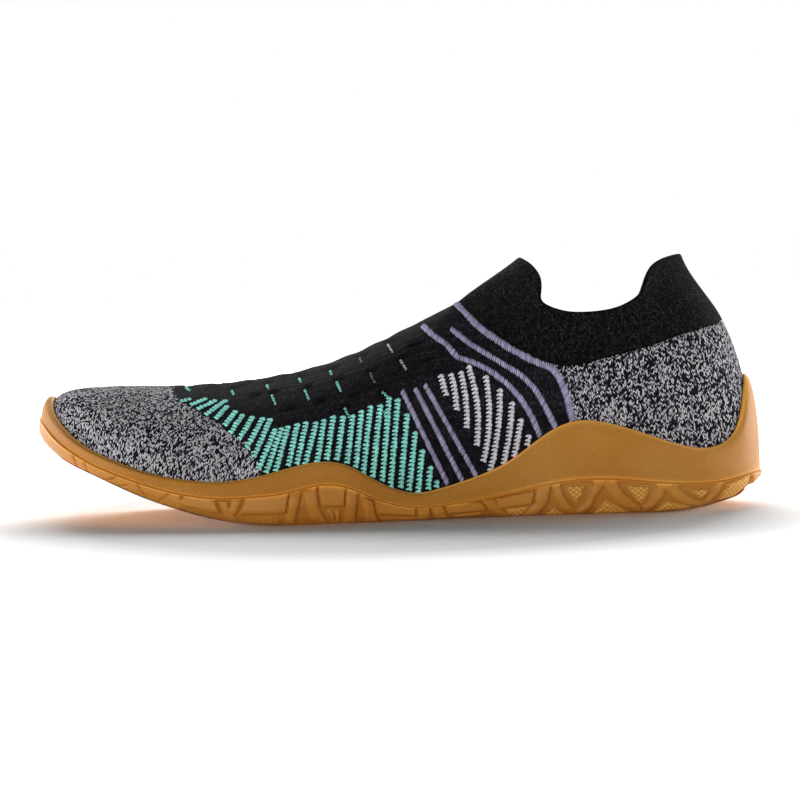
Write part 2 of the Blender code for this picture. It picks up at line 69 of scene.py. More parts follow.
# Thicknesses
KNIT = 0.0020
RIB_KNIT = 0.0022
CUP_WALL = 0.0026
CUP_LIP = 0.0012
STEP = 0.0007
SOLE_FLOOR = 0.0048
INSOLE = 0.0030
GAP = 0.0003

# Plan outline of the sole at its widest.
# way, outer side: share of length, share of ball width; inner side: the same
OUTLINE = (
    (-1.00, 1.000, 0.100, 1.000, 0.100),
    (-0.80, 0.992, -0.005, 0.996, 0.180),
    (-0.60, 0.972, -0.105, 0.980, 0.260),
    (-0.35, 0.940, -0.210, 0.948, 0.350),
    (-0.10, 0.897, -0.315, 0.900, 0.425),
    (0.10, 0.852, -0.395, 0.850, 0.470),
    (0.30, 0.790, -0.455, 0.788, 0.500),
    (0.50, 0.715, -0.490, 0.715, 0.500),
    (0.70, 0.630, -0.490, 0.630, 0.455),
    (0.85, 0.560, -0.460, 0.560, 0.400),
    (1.00, 0.480, -0.415, 0.480, 0.345),
    (1.15, 0.400, -0.375, 0.400, 0.315),
    (1.30, 0.320, -0.345, 0.320, 0.313),
    (1.45, 0.240, -0.333, 0.240, 0.325),
    (1.60, 0.165, -0.328, 0.165, 0.328),
    (1.75, 0.090, -0.300, 0.090, 0.300),
    (1.87, 0.035, -0.220, 0.035, 0.220),
    (1.95, 0.008, -0.110, 0.008, 0.110),
    (2.00, 0.000, 0.000, 0.000, 0.000),
)

# Ridge of the vamp.
# way, share of length, share of ball width, share of instep height
RIDGE = (
    (0.00, 0.840, 0.120, 0.630),
    (0.15, 0.790, 0.115, 0.630),
    (0.30, 0.730, 0.100, 0.640),
    (0.50, 0.640, 0.080, 0.684),
    (0.70, 0.556, 0.060, 0.770),
    (0.85, 0.486, 0.040, 0.880),
    (1.00, 0.414, 0.020, 1.000),
)

# Cuff line, where the ribbed collar starts.
# way, share of length, outer and inner share of ball width, share of instep height
CUFF = (
    (1.00, 0.414, 0.020, 0.020, 1.000),
    (1.08, 0.399, -0.085, 0.120, 0.945),
    (1.16, 0.372, -0.180, 0.200, 0.868),
    (1.26, 0.330, -0.245, 0.255, 0.770),
    (1.38, 0.275, -0.270, 0.270, 0.700),
    (1.50, 0.220, -0.270, 0.270, 0.728),
    (1.62, 0.165, -0.255, 0.255, 0.774),
    (1.75, 0.113, -0.210, 0.210, 0.828),
    (1.87, 0.072, -0.135, 0.135, 0.863),
    (1.95, 0.052, -0.055, 0.055, 0.878),
    (2.00, 0.047, 0.000, 0.000, 0.880),
)

# Direction of the knit as it reaches the cuff line: backward, inward, upward
RISE = (
    (1.00, 0.61, 0.74, 0.27),
    (1.08, 0.48, 0.70, 0.50),
    (1.16, 0.33, 0.62, 0.70),
    (1.26, 0.15, 0.45, 0.88),
    (1.38, 0.05, 0.30, 0.95),
    (1.50, 0.00, 0.25, 0.97),
    (1.62, -0.04, 0.25, 0.97),
    (1.75, -0.16, 0.24, 0.95),
    (1.87, -0.30, 0.15, 0.94),
    (2.00, -0.42, 0.00, 0.91),
)

# Direction of the ribs as they leave the cuff line: backward, inward, upward
RIB_RISE = (
    (1.00, 0.78, 0.00, 0.63),
    (1.08, 0.66, 0.36, 0.66),
    (1.16, 0.46, 0.52, 0.72),
    (1.26, 0.20, 0.44, 0.87),
    (1.38, 0.05, 0.30, 0.95),
    (1.50, 0.00, 0.25, 0.97),
    (1.62, -0.04, 0.25, 0.97),
    (1.75, -0.16, 0.24, 0.95),
    (1.87, -0.30, 0.15, 0.94),
    (2.00, -0.42, 0.00, 0.91),
)

# Turn of the knit towards the heel where it reaches the ridge, in degrees
TURN = (
    (-1.00, 90.0),
    (-0.80, 66.0),
    (-0.60, 46.0),
    (-0.35, 26.0),
    (-0.10, 11.0),
    (0.10, 3.0),
    (0.30, 0.0),
    (0.60, 4.0),
    (0.80, 18.0),
    (1.00, 42.0),
)

# Pull of the curves.
# way, share of the chord held upright at the sole, share held along the top
PULL = (
    (-1.00, 0.50, 0.80),
    (-0.60, 0.44, 0.72),
    (-0.10, 0.36, 0.55),
    (0.50, 0.34, 0.40),
    (1.00, 0.40, 0.34),
    (1.40, 0.42, 0.34),
    (2.00, 0.40, 0.36),
)

# Rim of the collar.
# way, outer side: share of length, of ball width, of collar height; inner side: the same
RIM = (
    (1.00, 0.326, 0.010, 1.002, 0.326, 0.010, 1.002),
    (1.06, 0.318, -0.080, 0.986, 0.318, 0.100, 0.984),
    (1.11, 0.310, -0.130, 0.960, 0.311, 0.150, 0.955),
    (1.15, 0.305, -0.165, 0.931, 0.306, 0.182, 0.924),
    (1.19, 0.305, -0.195, 0.892, 0.306, 0.207, 0.884),
    (1.22, 0.306, -0.212, 0.859, 0.307, 0.220, 0.850),
    (1.25, 0.303, -0.225, 0.832, 0.303, 0.229, 0.822),
    (1.29, 0.294, -0.237, 0.811, 0.293, 0.239, 0.800),
    (1.34, 0.279, -0.247, 0.794, 0.277, 0.247, 0.783),
    (1.41, 0.256, -0.255, 0.783, 0.254, 0.255, 0.771),
    (1.50, 0.215, -0.260, 0.789, 0.211, 0.260, 0.771),
    (1.60, 0.182, -0.247, 0.820, 0.172, 0.247, 0.800),
    (1.68, 0.164, -0.220, 0.860, 0.153, 0.220, 0.842),
    (1.75, 0.156, -0.185, 0.912, 0.145, 0.185, 0.900),
    (1.83, 0.144, -0.140, 0.962, 0.136, 0.140, 0.955),
    (1.91, 0.123, -0.080, 0.988, 0.121, 0.080, 0.986),
    (2.00, 0.104, 0.000, 1.000, 0.104, 0.000, 1.000),
)

# Lean of the ribs towards the heel as they reach the rim, for one unit up
RIM_LEAN = (
    (1.00, 1.24),
    (1.08, 1.10),
    (1.16, 0.62),
    (1.26, 0.25),
    (1.38, 0.04),
    (1.50, 0.00),
    (1.67, 0.00),
    (1.75, -0.07),
    (1.87, -0.17),
    (2.00, -0.28),
)

# Underside of the sole at its middle: share of length, height as share of instep height
UNDERSIDE = (
    (0.000, 0.125),
    (0.025, 0.072),
    (0.057, 0.040),
    (0.090, 0.017),
    (0.126, 0.004),
    (0.160, 0.000),
    (0.300, 0.000),
    (0.500, 0.000),
    (0.640, 0.000),
    (0.720, 0.018),
    (0.790, 0.074),
    (0.860, 0.155),
    (0.910, 0.222),
    (0.950, 0.274),
    (0.975, 0.312),
    (1.000, 0.360),
)

# Top edge of the cup and the step of its side, with the lugs below.
# way, height of the top edge, height of the step, shares of instep height
CUP_LINES = (
    (-1.00, 0.580, 0.490),
    (-0.80, 0.530, 0.465),
    (-0.60, 0.460, 0.405),
    (-0.40, 0.396, 0.350),
    (-0.20, 0.340, 0.296),
    (0.00, 0.291, 0.245),
    (0.15, 0.250, 0.203),
    (0.30, 0.218, 0.160),
    (0.45, 0.207, 0.137),
    (0.55, 0.225, 0.140),
    (0.65, 0.261, 0.154),
    (0.75, 0.286, 0.185),
    (0.83, 0.265, 0.172),
    (0.90, 0.202, 0.120),
    (1.00, 0.130, 0.072),
    (1.07, 0.146, 0.075),
    (1.15, 0.189, 0.092),
    (1.25, 0.272, 0.124),
    (1.34, 0.390, 0.153),
    (1.42, 0.440, 0.168),
    (1.50, 0.425, 0.168),
    (1.60, 0.371, 0.152),
    (1.72, 0.303, 0.138),
    (1.82, 0.310, 0.144),
    (1.89, 0.405, 0.158),
    (1.95, 0.565, 0.160),
    (2.00, 0.623, 0.155),
)


# Surfaces of the shoe, on the same lines as the part

@functools.lru_cache(maxsize=None)
def knots(table, column, flat):
    """Keys, values, spans and tangents of one column of a table."""
    key = np.array([row[0] for row in table])
    value = np.array([row[column] for row in table])
    span = np.diff(key)
    slope = np.diff(value) / span
    size = len(key)
    left = np.zeros((size, size))
    right = np.zeros(size)
    left[0, 0] = left[-1, -1] = 1.0
    right[0] = 0.0 if flat else slope[0]
    right[-1] = 0.0 if flat else slope[-1]
    for k in range(1, size - 1):
        left[k, k - 1] = span[k]
        left[k, k] = 2.0 * (span[k - 1] + span[k])
        left[k, k + 1] = span[k - 1]
        right[k] = 3.0 * (span[k] * slope[k - 1] + span[k - 1] * slope[k])
    return key, value, span, np.linalg.solve(left, right)


def spline(table, column, at, flat=False):
    """Smooth curve through one column of a table, keyed by its first column."""
    key, value, span, tangent = knots(table, column, flat)
    at = np.minimum(np.maximum(np.asarray(at, dtype=float), key[0]), key[-1])
    k = np.minimum(np.maximum(np.searchsorted(key, at, side="right") - 1, 0), len(key) - 2)
    f = (at - key[k]) / span[k]
    low = (1 + 2 * f) * (1 - f) ** 2 * value[k] + f * (1 - f) ** 2 * span[k] * tangent[k]
    high = f * f * (3 - 2 * f) * value[k + 1] - f * f * (1 - f) * span[k] * tangent[k + 1]
    return low + high


def unit(vectors):
    """Vectors brought to length one."""
    return vectors / np.linalg.norm(vectors, axis=-1, keepdims=True)


def lengths(line):
    """Distance run along a line of points, from its start."""
    return np.concatenate([[0.0], np.cumsum(np.linalg.norm(np.diff(line, axis=0), axis=1))])


def shoe_point(along, across, height):
    """Point from the share of length (heel 0, toe 1), metres across and metres up."""
    return np.stack([LENGTH * (0.5 - along), across, height + 0.0 * along], axis=-1)


def outline(side, way):
    """Widest line of the sole in plan and its outward direction."""
    column = 1 if side < 0 else 3
    step = 0.004
    low = np.maximum(way - step, -1.0)
    high = np.minimum(way + step, 2.0)
    points = []
    for w in (way, low, high):
        along = spline(OUTLINE, column, w, True)
        across = spline(OUTLINE, column + 1, w) * BALL_WIDTH
        points.append(shoe_point(along, across, 0.0 * along))
    run = unit(points[2] - points[1])
    out = np.stack([-run[..., 1] * side, run[..., 0] * side, 0.0 * way], axis=-1)
    middle = (way <= -1.0) | (way >= 2.0)
    ahead = np.stack([np.where(way < 0, -1.0, 1.0), 0.0 * way, 0.0 * way], axis=-1)
    out = np.where(middle[..., None], ahead, out)
    return points[0], out


def underside(x):
    """Height of the tread's underside, never below the floor."""
    return np.maximum(spline(UNDERSIDE, 1, 0.5 - x / LENGTH), 0.0) * INSTEP_HEIGHT


def floor_top(x):
    """Height of the cup's floor inside the shoe."""
    return underside(x) * 0.9 + SOLE_FLOOR


def ridge(way):
    """Ridge of the vamp, one point for the whole toe fan, up to the cuff."""
    w = np.clip(way, 0.0, 1.0)
    across = spline(RIDGE, 2, w) * BALL_WIDTH
    return shoe_point(spline(RIDGE, 1, w), across, spline(RIDGE, 3, w) * INSTEP_HEIGHT)


def cuff(side, way):
    """Cuff line, where the knit and the collar meet."""
    w = np.clip(way, 1.0, 2.0)
    across = spline(CUFF, 2 if side < 0 else 3, w) * BALL_WIDTH
    return shoe_point(spline(CUFF, 1, w, True), across, spline(CUFF, 4, w, True) * INSTEP_HEIGHT)


def rim(side, way):
    """Rim of the collar."""
    w = np.clip(way, 1.0, 2.0)
    first = 1 if side < 0 else 4
    across = spline(RIM, first + 1, w) * BALL_WIDTH
    height = spline(RIM, first + 2, w, True) * COLLAR_HEIGHT
    return shoe_point(spline(RIM, first, w, True), across, height)


def rise(side, way):
    """Direction in which the knit reaches the ridge or the cuff line."""
    run = unit(ridge(np.clip(way, 0.0, 0.98) + 0.02) - ridge(np.clip(way, 0.0, 0.98)))
    turn = np.radians(spline(TURN, 1, np.clip(way, -1.0, 1.0)))
    inward = np.zeros_like(run)
    inward[..., 1] = -side
    on_ridge = np.cos(turn)[..., None] * inward + np.sin(turn)[..., None] * run
    w = np.clip(way, 1.0, 2.0)
    inward_cuff = -side * spline(RISE, 2, w)
    on_cuff = np.stack([spline(RISE, 1, w), inward_cuff, spline(RISE, 3, w)], axis=-1)
    return unit(np.where((way <= 1.0)[..., None], on_ridge, on_cuff))


def curve(start, start_pull, end_pull, end, v):
    """Cubic curve with its two inner control points."""
    v = v[..., None]
    a = (1 - v) ** 3 * start + 3 * v * (1 - v) ** 2 * start_pull
    return a + 3 * v * v * (1 - v) * end_pull + v ** 3 * end


def knit(side, way, v):
    """Outside of the knit body, v from 0 at the feather line to 1 at the top."""
    way, v = np.broadcast_arrays(np.asarray(way, float), np.asarray(v, float))
    edge, out = outline(side, way)
    start = edge - out * (CUP_WALL + GAP)
    start[..., 2] = floor_top(start[..., 0]) + GAP
    end = np.where((way <= 1.0)[..., None], ridge(way), cuff(side, way))
    chord = np.linalg.norm(end - start, axis=-1)
    up = np.array([0.0, 0.0, 1.0])
    low = start + up * (chord * spline(PULL, 1, way))[..., None]
    high = end - rise(side, way) * (chord * spline(PULL, 2, way))[..., None]
    return curve(start, low, high, end, v)


def collar_skin(side, way, v):
    """Outside of the collar, v from 0 at the cuff line to 1 at the rim."""
    way, v = np.broadcast_arrays(np.asarray(way, float), np.asarray(v, float))
    start = cuff(side, way)
    end = rim(side, way)
    chord = np.linalg.norm(end - start, axis=-1)[..., None]
    inward = -side * spline(RIB_RISE, 2, way)
    leave = unit(np.stack([spline(RIB_RISE, 1, way), inward, spline(RIB_RISE, 3, way)], axis=-1))
    start = start + leave * 2.0 * GAP
    low = start + leave * chord * 0.30
    back = spline(RIM_LEAN, 1, way)
    lean = -side * 0.10 * np.sin(np.pi * (way - 1.0))
    lift = unit(np.stack([back, lean, 1.0 + 0.0 * way], axis=-1))
    high = end - lift * chord * 0.30
    return curve(start, low, high, end, v)


def normals(surface, side, way, v):
    """Outward normals of a surface function, shared by both sides at toe tip and heel back."""
    way = np.asarray(way, float)
    own = side_normals(surface, side, way, v)
    other = side_normals(surface, -side, way, v)
    ends = ((way <= -1.0) | (way >= 2.0))[..., None]
    return unit(np.where(ends, own + other, own))


def side_normals(surface, side, way, v):
    """Outward normals of one side by small differences."""
    way, v = np.broadcast_arrays(np.asarray(way, float), np.asarray(v, float))
    step = 0.004
    w0 = np.clip(way - step, -1.0 if surface is knit else 1.0, 2.0 - step)
    v0 = np.clip(v - step, 0.0, 1.0 - step)
    across = surface(side, w0 + step, v) - surface(side, w0, v)
    climb = surface(side, way, v0 + step) - surface(side, way, v0)
    return unit(np.cross(across, climb) * -side)


def collar_normals(side, way, v):
    """Outward normals of the collar, level across the middle where its sides meet."""
    way, v = np.broadcast_arrays(np.asarray(way, float), np.asarray(v, float))
    own = side_normals(collar_skin, side, way, v)
    mean = own + side_normals(collar_skin, -side, way, v)
    mean[..., 1] = 0.0
    ends = (way <= 1.0) | (way >= 2.0)
    return unit(np.where(ends[..., None], mean, own))


def stations(first, last, count):
    """Values of way at equal steps along the outline, both ends kept."""
    fine = np.linspace(first, last, 400)
    run = lengths(0.5 * (outline(-1, fine)[0] * (1, -1, 1) + outline(1, fine)[0]))
    return np.interp(np.linspace(0.0, run[-1], count), run, fine)


def body_stations(count):
    """Stations round the whole shoe, closer together in front of the cuff."""
    front = stations(-1.0, 1.0, int(count * 0.60))
    back = stations(1.0, 2.0, int(count * 0.40) + 1)
    return np.concatenate([front, back[1:]])


def height_share(side, way, column):
    """Share of the knit curve at which it reaches the height of a line of the cup."""
    v = np.linspace(0.0, 1.0, 161)
    points = knit(side, way[:, None], v[None, :])
    line = spline(CUP_LINES, column, way, True)[:, None] * INSTEP_HEIGHT
    gap = line - points[..., 2]
    share = np.zeros(len(way))
    for k in range(len(way)):
        below = gap[k] > 0
        first = int(np.argmin(below)) if not below.all() else len(v) - 1
        if first:
            a, b = gap[k, first - 1], gap[k, first]
            share[k] = v[first - 1] + (v[first] - v[first - 1]) * a / (a - b)
    return share


def side_view(points):
    """Millimetres from the heel back and above the floor."""
    return (LENGTH * 0.5 - points[..., 0]) / MM, points[..., 2] / MM


# Lines read off the side of the shoe: millimetres from the heel back, millimetres up

# Back edge of the marl toe
TOE_EDGE = (
    (190.6, 0.0), (189.8, 19.7), (191.7, 23.9), (196.3, 31.3), (201.6, 34.5), (210.9, 40.3),
    (221.0, 45.4), (225.4, 49.4), (227.0, 53.0),
)

# Lavender lines that run from the instep down to the cup; the first is the marl heel's edge
HEEL_LINE = (
    (115.4, 79.6), (107.3, 70.7), (97.2, 63.3), (87.7, 57.9), (80.3, 55.1), (77.4, 49.9),
    (75.0, 42.5), (73.7, 35.7), (73.0, 28.0),
)
SECOND_LINE = (
    (118.0, 70.3), (110.9, 64.6), (100.8, 58.2), (92.5, 52.9), (87.4, 47.6), (83.4, 40.2),
    (80.0, 32.8), (77.5, 26.0),
)
THIRD_LINE = (
    (128.4, 71.6), (125.0, 68.1), (119.9, 64.8), (116.3, 60.0), (110.1, 58.0), (103.9, 54.7),
    (97.8, 49.9), (92.8, 44.1), (88.8, 37.2), (86.0, 29.9), (83.5, 22.0),
)
SLANTS = (
    ((137.0, 47.9), (119.0, 9.0)),
    ((132.1, 48.7), (113.5, 10.0)),
    ((128.4, 49.9), (107.6, 11.0)),
)

# Silver stripes between them: top, bottom, bow of the middle to the heel
SILVER = (
    (122.3, 53.1, 120.6, 45.9, 0.0), (118.5, 53.5, 116.7, 39.9, 0.4),
    (114.8, 54.2, 113.3, 33.5, 0.8), (111.8, 56.2, 109.7, 27.5, 1.7),
    (105.6, 52.4, 107.5, 20.9, 1.8), (100.5, 47.4, 106.9, 11.0, 1.5),
    (96.1, 42.4, 102.2, 12.3, 1.0), (93.0, 36.1, 97.2, 18.0, 0.3),
    (90.1, 30.0, 92.0, 21.6, 0.0),
)

# Teal stripes from the toe to the middle: top, bottom
TEAL = (
    (217.7, 46.0, 220.6, 45.5), (211.6, 45.9, 216.6, 44.2), (207.8, 45.2, 214.2, 42.5),
    (203.9, 45.2, 210.6, 40.7), (203.0, 43.3, 207.3, 38.8), (199.6, 41.5, 203.9, 36.3),
    (196.9, 40.2, 200.9, 34.5), (193.1, 39.4, 197.8, 32.1), (189.2, 38.9, 194.8, 29.3),
    (186.4, 38.5, 192.5, 25.3), (184.5, 35.0, 190.9, 20.5), (182.1, 35.2, 188.6, 17.7),
    (179.6, 35.9, 185.0, 18.0), (176.2, 36.6, 180.4, 19.0), (172.9, 37.2, 177.1, 20.0),
    (169.2, 37.1, 174.1, 20.0), (166.2, 38.0, 169.5, 20.0), (162.8, 39.1, 166.1, 20.0),
    (159.1, 39.1, 162.5, 19.0), (155.6, 39.3, 158.6, 18.0), (152.3, 40.8, 155.4, 16.5),
    (148.9, 42.5, 152.7, 14.5), (145.3, 42.8, 149.4, 12.0), (141.8, 45.6, 145.8, 10.0),
    (138.7, 44.6, 142.7, 8.5), (135.4, 39.2, 139.0, 8.0), (132.5, 32.5, 135.9, 7.5),
    (130.1, 25.7, 132.4, 7.5), (127.3, 19.5, 128.7, 7.5), (125.0, 14.2, 125.6, 8.0),
)

# Little slots of the vamp with the yarn that shows in them: place, half height, lean, yarn; a dark
# slot shows no yarn, only the painted shade of its dent
SLOTS = (
    (219.4, 49.6, 0.5, 2.0, "teal"), (210.0, 49.4, 0.9, 0.9, "dark"),
    (201.6, 48.5, 0.7, 0.7, "teal"), (196.0, 50.6, 1.2, 0.8, "dark"),
    (188.3, 50.3, 0.7, 0.6, "teal"), (185.5, 45.8, 1.8, 0.5, "teal"),
    (181.0, 53.0, 1.2, 0.7, "dark"), (176.0, 52.6, 0.7, 0.6, "teal"),
    (173.0, 47.5, 1.9, 0.5, "teal"), (168.5, 57.2, 1.2, 0.6, "dark"),
    (164.1, 55.2, 0.7, 0.5, "teal"), (160.9, 50.2, 1.9, 0.5, "teal"),
    (156.5, 61.6, 1.3, 0.6, "dark"), (152.7, 59.6, 0.9, 0.5, "dim"),
    (148.1, 53.2, 1.9, 0.5, "dim"), (146.0, 66.4, 1.4, 0.6, "dark"),
    (141.4, 63.9, 1.5, 0.6, "silver"), (136.4, 57.7, 1.9, 0.6, "silver"),
    (179.5, 42.0, 1.6, 0.5, "dark"), (167.5, 44.6, 1.6, 0.5, "dark"),
    (154.8, 46.6, 1.6, 0.5, "dark"), (131.5, 64.5, 1.6, 0.6, "dark"),
    (127.0, 59.0, 1.6, 0.6, "dark"), (192.5, 46.6, 1.4, 0.6, "dark"),
    (142.9, 46.4, 1.5, 1.0, "teal"), (157.7, 40.6, 1.9, 0.5, "teal"),
    (143.5, 39.6, 1.2, 0.3, "teal"),
)

# Soft troughs (negative) and ridges of the knit: from, to, half width, height
CREASES = (
    (214.5, 52.0, 209.0, 46.0, 3.0, 0.45), (204.5, 52.0, 198.5, 45.0, 2.4, -0.40),
    (198.0, 53.0, 191.0, 43.5, 3.0, 0.50), (192.0, 53.5, 184.5, 43.5, 2.2, -0.45),
    (184.5, 55.0, 178.0, 44.0, 3.0, 0.55), (178.5, 56.5, 171.5, 44.5, 2.2, -0.45),
    (172.0, 58.0, 165.5, 45.5, 3.0, 0.55), (166.0, 60.5, 159.5, 47.0, 2.2, -0.50),
    (160.0, 62.5, 153.0, 49.0, 3.0, 0.60), (155.0, 65.5, 147.0, 50.5, 2.2, -0.50),
    (149.5, 68.0, 141.5, 53.0, 3.0, 0.60), (143.5, 69.0, 135.5, 55.0, 2.2, -0.55),
    (138.5, 71.0, 131.5, 56.5, 3.2, 0.55), (131.5, 71.5, 126.0, 58.0, 2.4, -0.50),
    (66.0, 60.0, 60.0, 42.0, 7.0, 0.50), (40.0, 62.0, 36.0, 36.0, 8.0, 0.45),
    (52.0, 60.0, 48.0, 38.0, 6.0, -0.40), (24.0, 60.0, 20.0, 34.0, 5.0, -0.35),
    (250.0, 47.0, 238.0, 30.0, 7.0, 0.50), (232.0, 48.0, 220.0, 28.0, 6.0, -0.45),
    (214.0, 38.0, 206.0, 24.0, 6.0, 0.40),
)

# Share of the creases' height that is built, and depth of a slot in millimetres
CREASE_SHARE = 0.45
SLOT_DEPTH = 0.65

# Proud forms of the lug band: kind, then corners
LUGS = (
    ("block", (218.3, 12.0), (206.8, 10.4), (205.2, 5.3), (221.7, 8.9)),
    ("strap", (205.8, 10.2), (202.1, 10.1), (201.3, 6.5), (198.5, 2.6), (201.1, 2.9), (203.6, 4.5)),
    ("strap", (200.6, 10.5), (196.6, 10.2), (198.8, 5.8), (200.3, 4.3), (201.7, 6.5)),
    ("block", (195.7, 10.5), (179.6, 12.0), (180.9, 5.0), (198.0, 4.9)),
    ("teeth", (195.7, 3.5), (182.8, 3.2), (183.6, 0.7), (195.2, 1.6)),
    ("strap", (179.1, 12.0), (174.9, 13.0), (177.8, 0.5), (181.0, 1.0)),
    ("strap", (174.2, 12.9), (169.3, 14.4), (168.6, 6.9), (165.5, 0.2), (171.0, 1.9), (173.2, 7.1)),
    ("block", (168.6, 14.8), (163.5, 15.4), (158.6, 14.6), (159.3, 6.8), (167.4, 7.1)),
    ("leaf", (165.3, 5.4), (163.4, 5.2), (162.6, 0.8), (164.3, 3.3)),
    ("leaf", (162.6, 5.2), (160.7, 5.0), (161.3, 1.0), (162.1, 0.8)),
    ("strap", (158.1, 13.8), (154.2, 11.9), (155.4, 0.1), (159.2, 0.2)),
    ("strap", (153.3, 11.2), (148.7, 8.4), (147.7, 3.2), (146.3, -0.1), (151.0, 0.1), (151.8, 4.8)),
    ("block", (148.0, 8.4), (133.1, 5.1), (133.0, 2.1), (147.1, 3.3)),
    ("teeth", (145.9, 1.8), (133.0, 1.2), (133.0, -0.3), (144.8, 0.1)),
    ("strap", (132.2, 4.7), (127.7, 5.0), (127.6, -0.7), (131.4, -0.3)),
    ("strap", (127.2, 4.9), (122.7, 5.2), (120.1, -1.0), (124.8, -0.1)),
    ("block", (122.0, 5.7), (108.5, 6.5), (106.2, 3.1), (120.7, 2.1)),
    ("teeth", (118.6, 1.7), (108.4, 2.5), (108.5, 0.9), (118.2, 0.4)),
    ("strap", (108.0, 6.8), (103.7, 7.5), (101.0, 3.4), (96.3, -0.5), (101.5, 0.4), (105.7, 3.3)),
    ("block", (103.0, 7.5), (88.4, 9.8), (89.8, 4.7), (101.2, 3.4)),
    ("facet", (99.5, 3.4), (91.2, 3.8), (92.5, 1.4), (95.4, -0.1), (98.4, 1.6)),
    ("strap", (87.5, 10.5), (82.5, 11.5), (83.8, 4.9), (88.2, -0.3), (93.5, -0.4), (88.6, 4.2)),
    ("facet", (84.4, 0.2), (81.2, 2.7), (76.8, 0.0)),
    ("strap", (82.1, 11.5), (80.4, 5.8), (77.7, 1.9), (74.0, -0.1), (72.4, 2.1), (75.2, 3.8),
     (77.6, 7.6), (78.9, 12.1)),
    ("strap", (74.0, -0.1), (70.6, 0.3), (67.7, 2.6), (65.7, 6.8), (65.0, 12.9), (66.5, 13.0),
     (67.1, 9.2), (68.6, 5.0), (70.5, 3.0), (72.4, 2.1)),
    ("block", (66.0, 12.9), (62.6, 12.7), (62.8, 10.9), (65.8, 7.0)),
    ("block", (42.2, 11.7), (36.0, 10.9), (38.9, 8.6)),
    ("facet", (76.3, 10.9), (70.1, 11.2), (70.9, 7.9), (73.1, 4.9), (75.1, 8.0)),
    ("strap", (63.5, 12.5), (60.9, 7.9), (57.6, 4.1), (52.9, 1.6), (48.2, 0.2), (48.1, 2.4),
     (51.9, 4.9), (55.6, 8.8), (57.9, 12.6)),
    ("strap", (48.2, 0.2), (44.4, 1.8), (40.9, 5.5), (38.9, 10.7), (42.7, 11.7), (43.3, 8.4),
     (45.3, 4.7), (48.1, 2.4)),
    ("facet", (53.9, 10.6), (46.0, 10.4), (45.9, 8.5), (48.4, 4.1), (50.0, 4.8)),
    ("facet", (66.3, 0.3), (61.6, 5.1), (53.0, 0.4)),
    ("strap", (39.3, 8.8), (35.6, 4.8), (31.4, 2.8), (26.5, 2.1), (24.0, 3.9), (28.9, 4.6),
     (32.2, 7.6), (35.5, 10.6)),
    ("strap", (26.5, 2.1), (22.0, 3.8), (18.9, 7.4), (16.8, 11.1), (19.8, 10.8), (20.9, 7.5),
     (24.0, 3.9)),
    ("facet", (30.3, 8.4), (23.6, 8.4), (23.7, 6.7), (25.7, 5.0)),
    ("facet", (43.4, 0.6), (38.6, 4.0), (30.0, 2.3), (30.4, 1.3)),
    ("facet", (14.8, 10.0), (5.7, 12.5), (6.1, 10.1), (12.3, 4.5), (19.0, 3.6)),
)

# Share of full height of the kinds of lug that are flat on top
LUG_HEIGHT = {"block": 1.00, "facet": 0.72, "leaf": 0.70}

# Where the lug band turns plain towards the toe, and the grooves cut in that plain part
BAND_FRONT = 219.5
TOE_GROOVES = (
    ((261.8, 26.4), (260.2, 21.6)), ((257.2, 24.0), (255.6, 19.6)), ((248.2, 17.8), (246.2, 18.0)),
    ((246.2, 18.0), (244.5, 19.0)), ((242.1, 15.4), (239.7, 15.8)), ((236.0, 16.5), (233.0, 11.4)),
    ((224.1, 12.9), (227.9, 10.1)),
)

# Roll of the band into the tread: share of its height, share of TREAD_EDGE drawn in
EDGE_ROLL = ((0.00, 1.00), (0.06, 0.50), (0.22, 0.17), (0.55, -0.07), (1.00, -0.10))
TREAD_EDGE = 0.0060

# Rows under the step: out from the wall's foot, down, mark of depth (painted shade in the groove),
# mark of the lip (painted highlight on the step's edge)
STEP_ROWS = (
    (-0.00025, 0.00025, 0.6, 0.0), (0.00005, 0.00055, 0.6, 0.0),
    (STEP * 0.7, 0.00065, 0.2, 0.0), (STEP, STEP * 1.2, 0.0, 0.4),
)

# Rows of points up the collar, down the wall and down the lug band; steps across the cup's
# floor and tread; size of the footbed's grid
COLLAR_ROWS = 15
WALL_ROWS = 20
FLANK_ROWS = 28
FLOOR_STEPS = 8
TREAD_STEPS = 40
FOOTBED_STATIONS = 160
FOOTBED_COLUMNS = 25

# Grooves across the tread: share of length, bow of the middle in units of 3 mm
TREAD_DEPTH = 0.0013
TREAD_BOW = 3.0
TREAD_GROOVES = (
    (0.085, 1.0), (0.125, 1.0), (0.165, 1.0), (0.205, 1.0), (0.245, 1.0), (0.300, 0.0),
    (0.360, 0.0), (0.420, 0.0), (0.480, 0.0), (0.540, -1.0), (0.580, -1.3), (0.620, -1.7),
    (0.660, -1.7), (0.700, -1.7), (0.740, -1.7), (0.780, -1.7), (0.820, -1.3), (0.860, -1.3),
    (0.900, -1.0),
)


# Meshes

def mark_points(mesh, key, values):
    """One number per point, for the materials."""
    mark = mesh.attributes.new(key, "FLOAT", "POINT")
    mark.data.foreach_set("value", np.asarray(values, dtype=np.float32).ravel())


def show(name, mesh, material, sharp=None):
    """Object of a smooth mesh with its material; sharp is the angle of hard edges."""
    mesh.polygons.foreach_set("use_smooth", np.ones(len(mesh.polygons), dtype=bool))
    if sharp:
        mesh.set_sharp_from_angle(angle=math.radians(sharp))
    mesh.materials.append(material)
    piece = bpy.data.objects.new(name, mesh)
    bpy.context.scene.collection.objects.link(piece)
    return piece


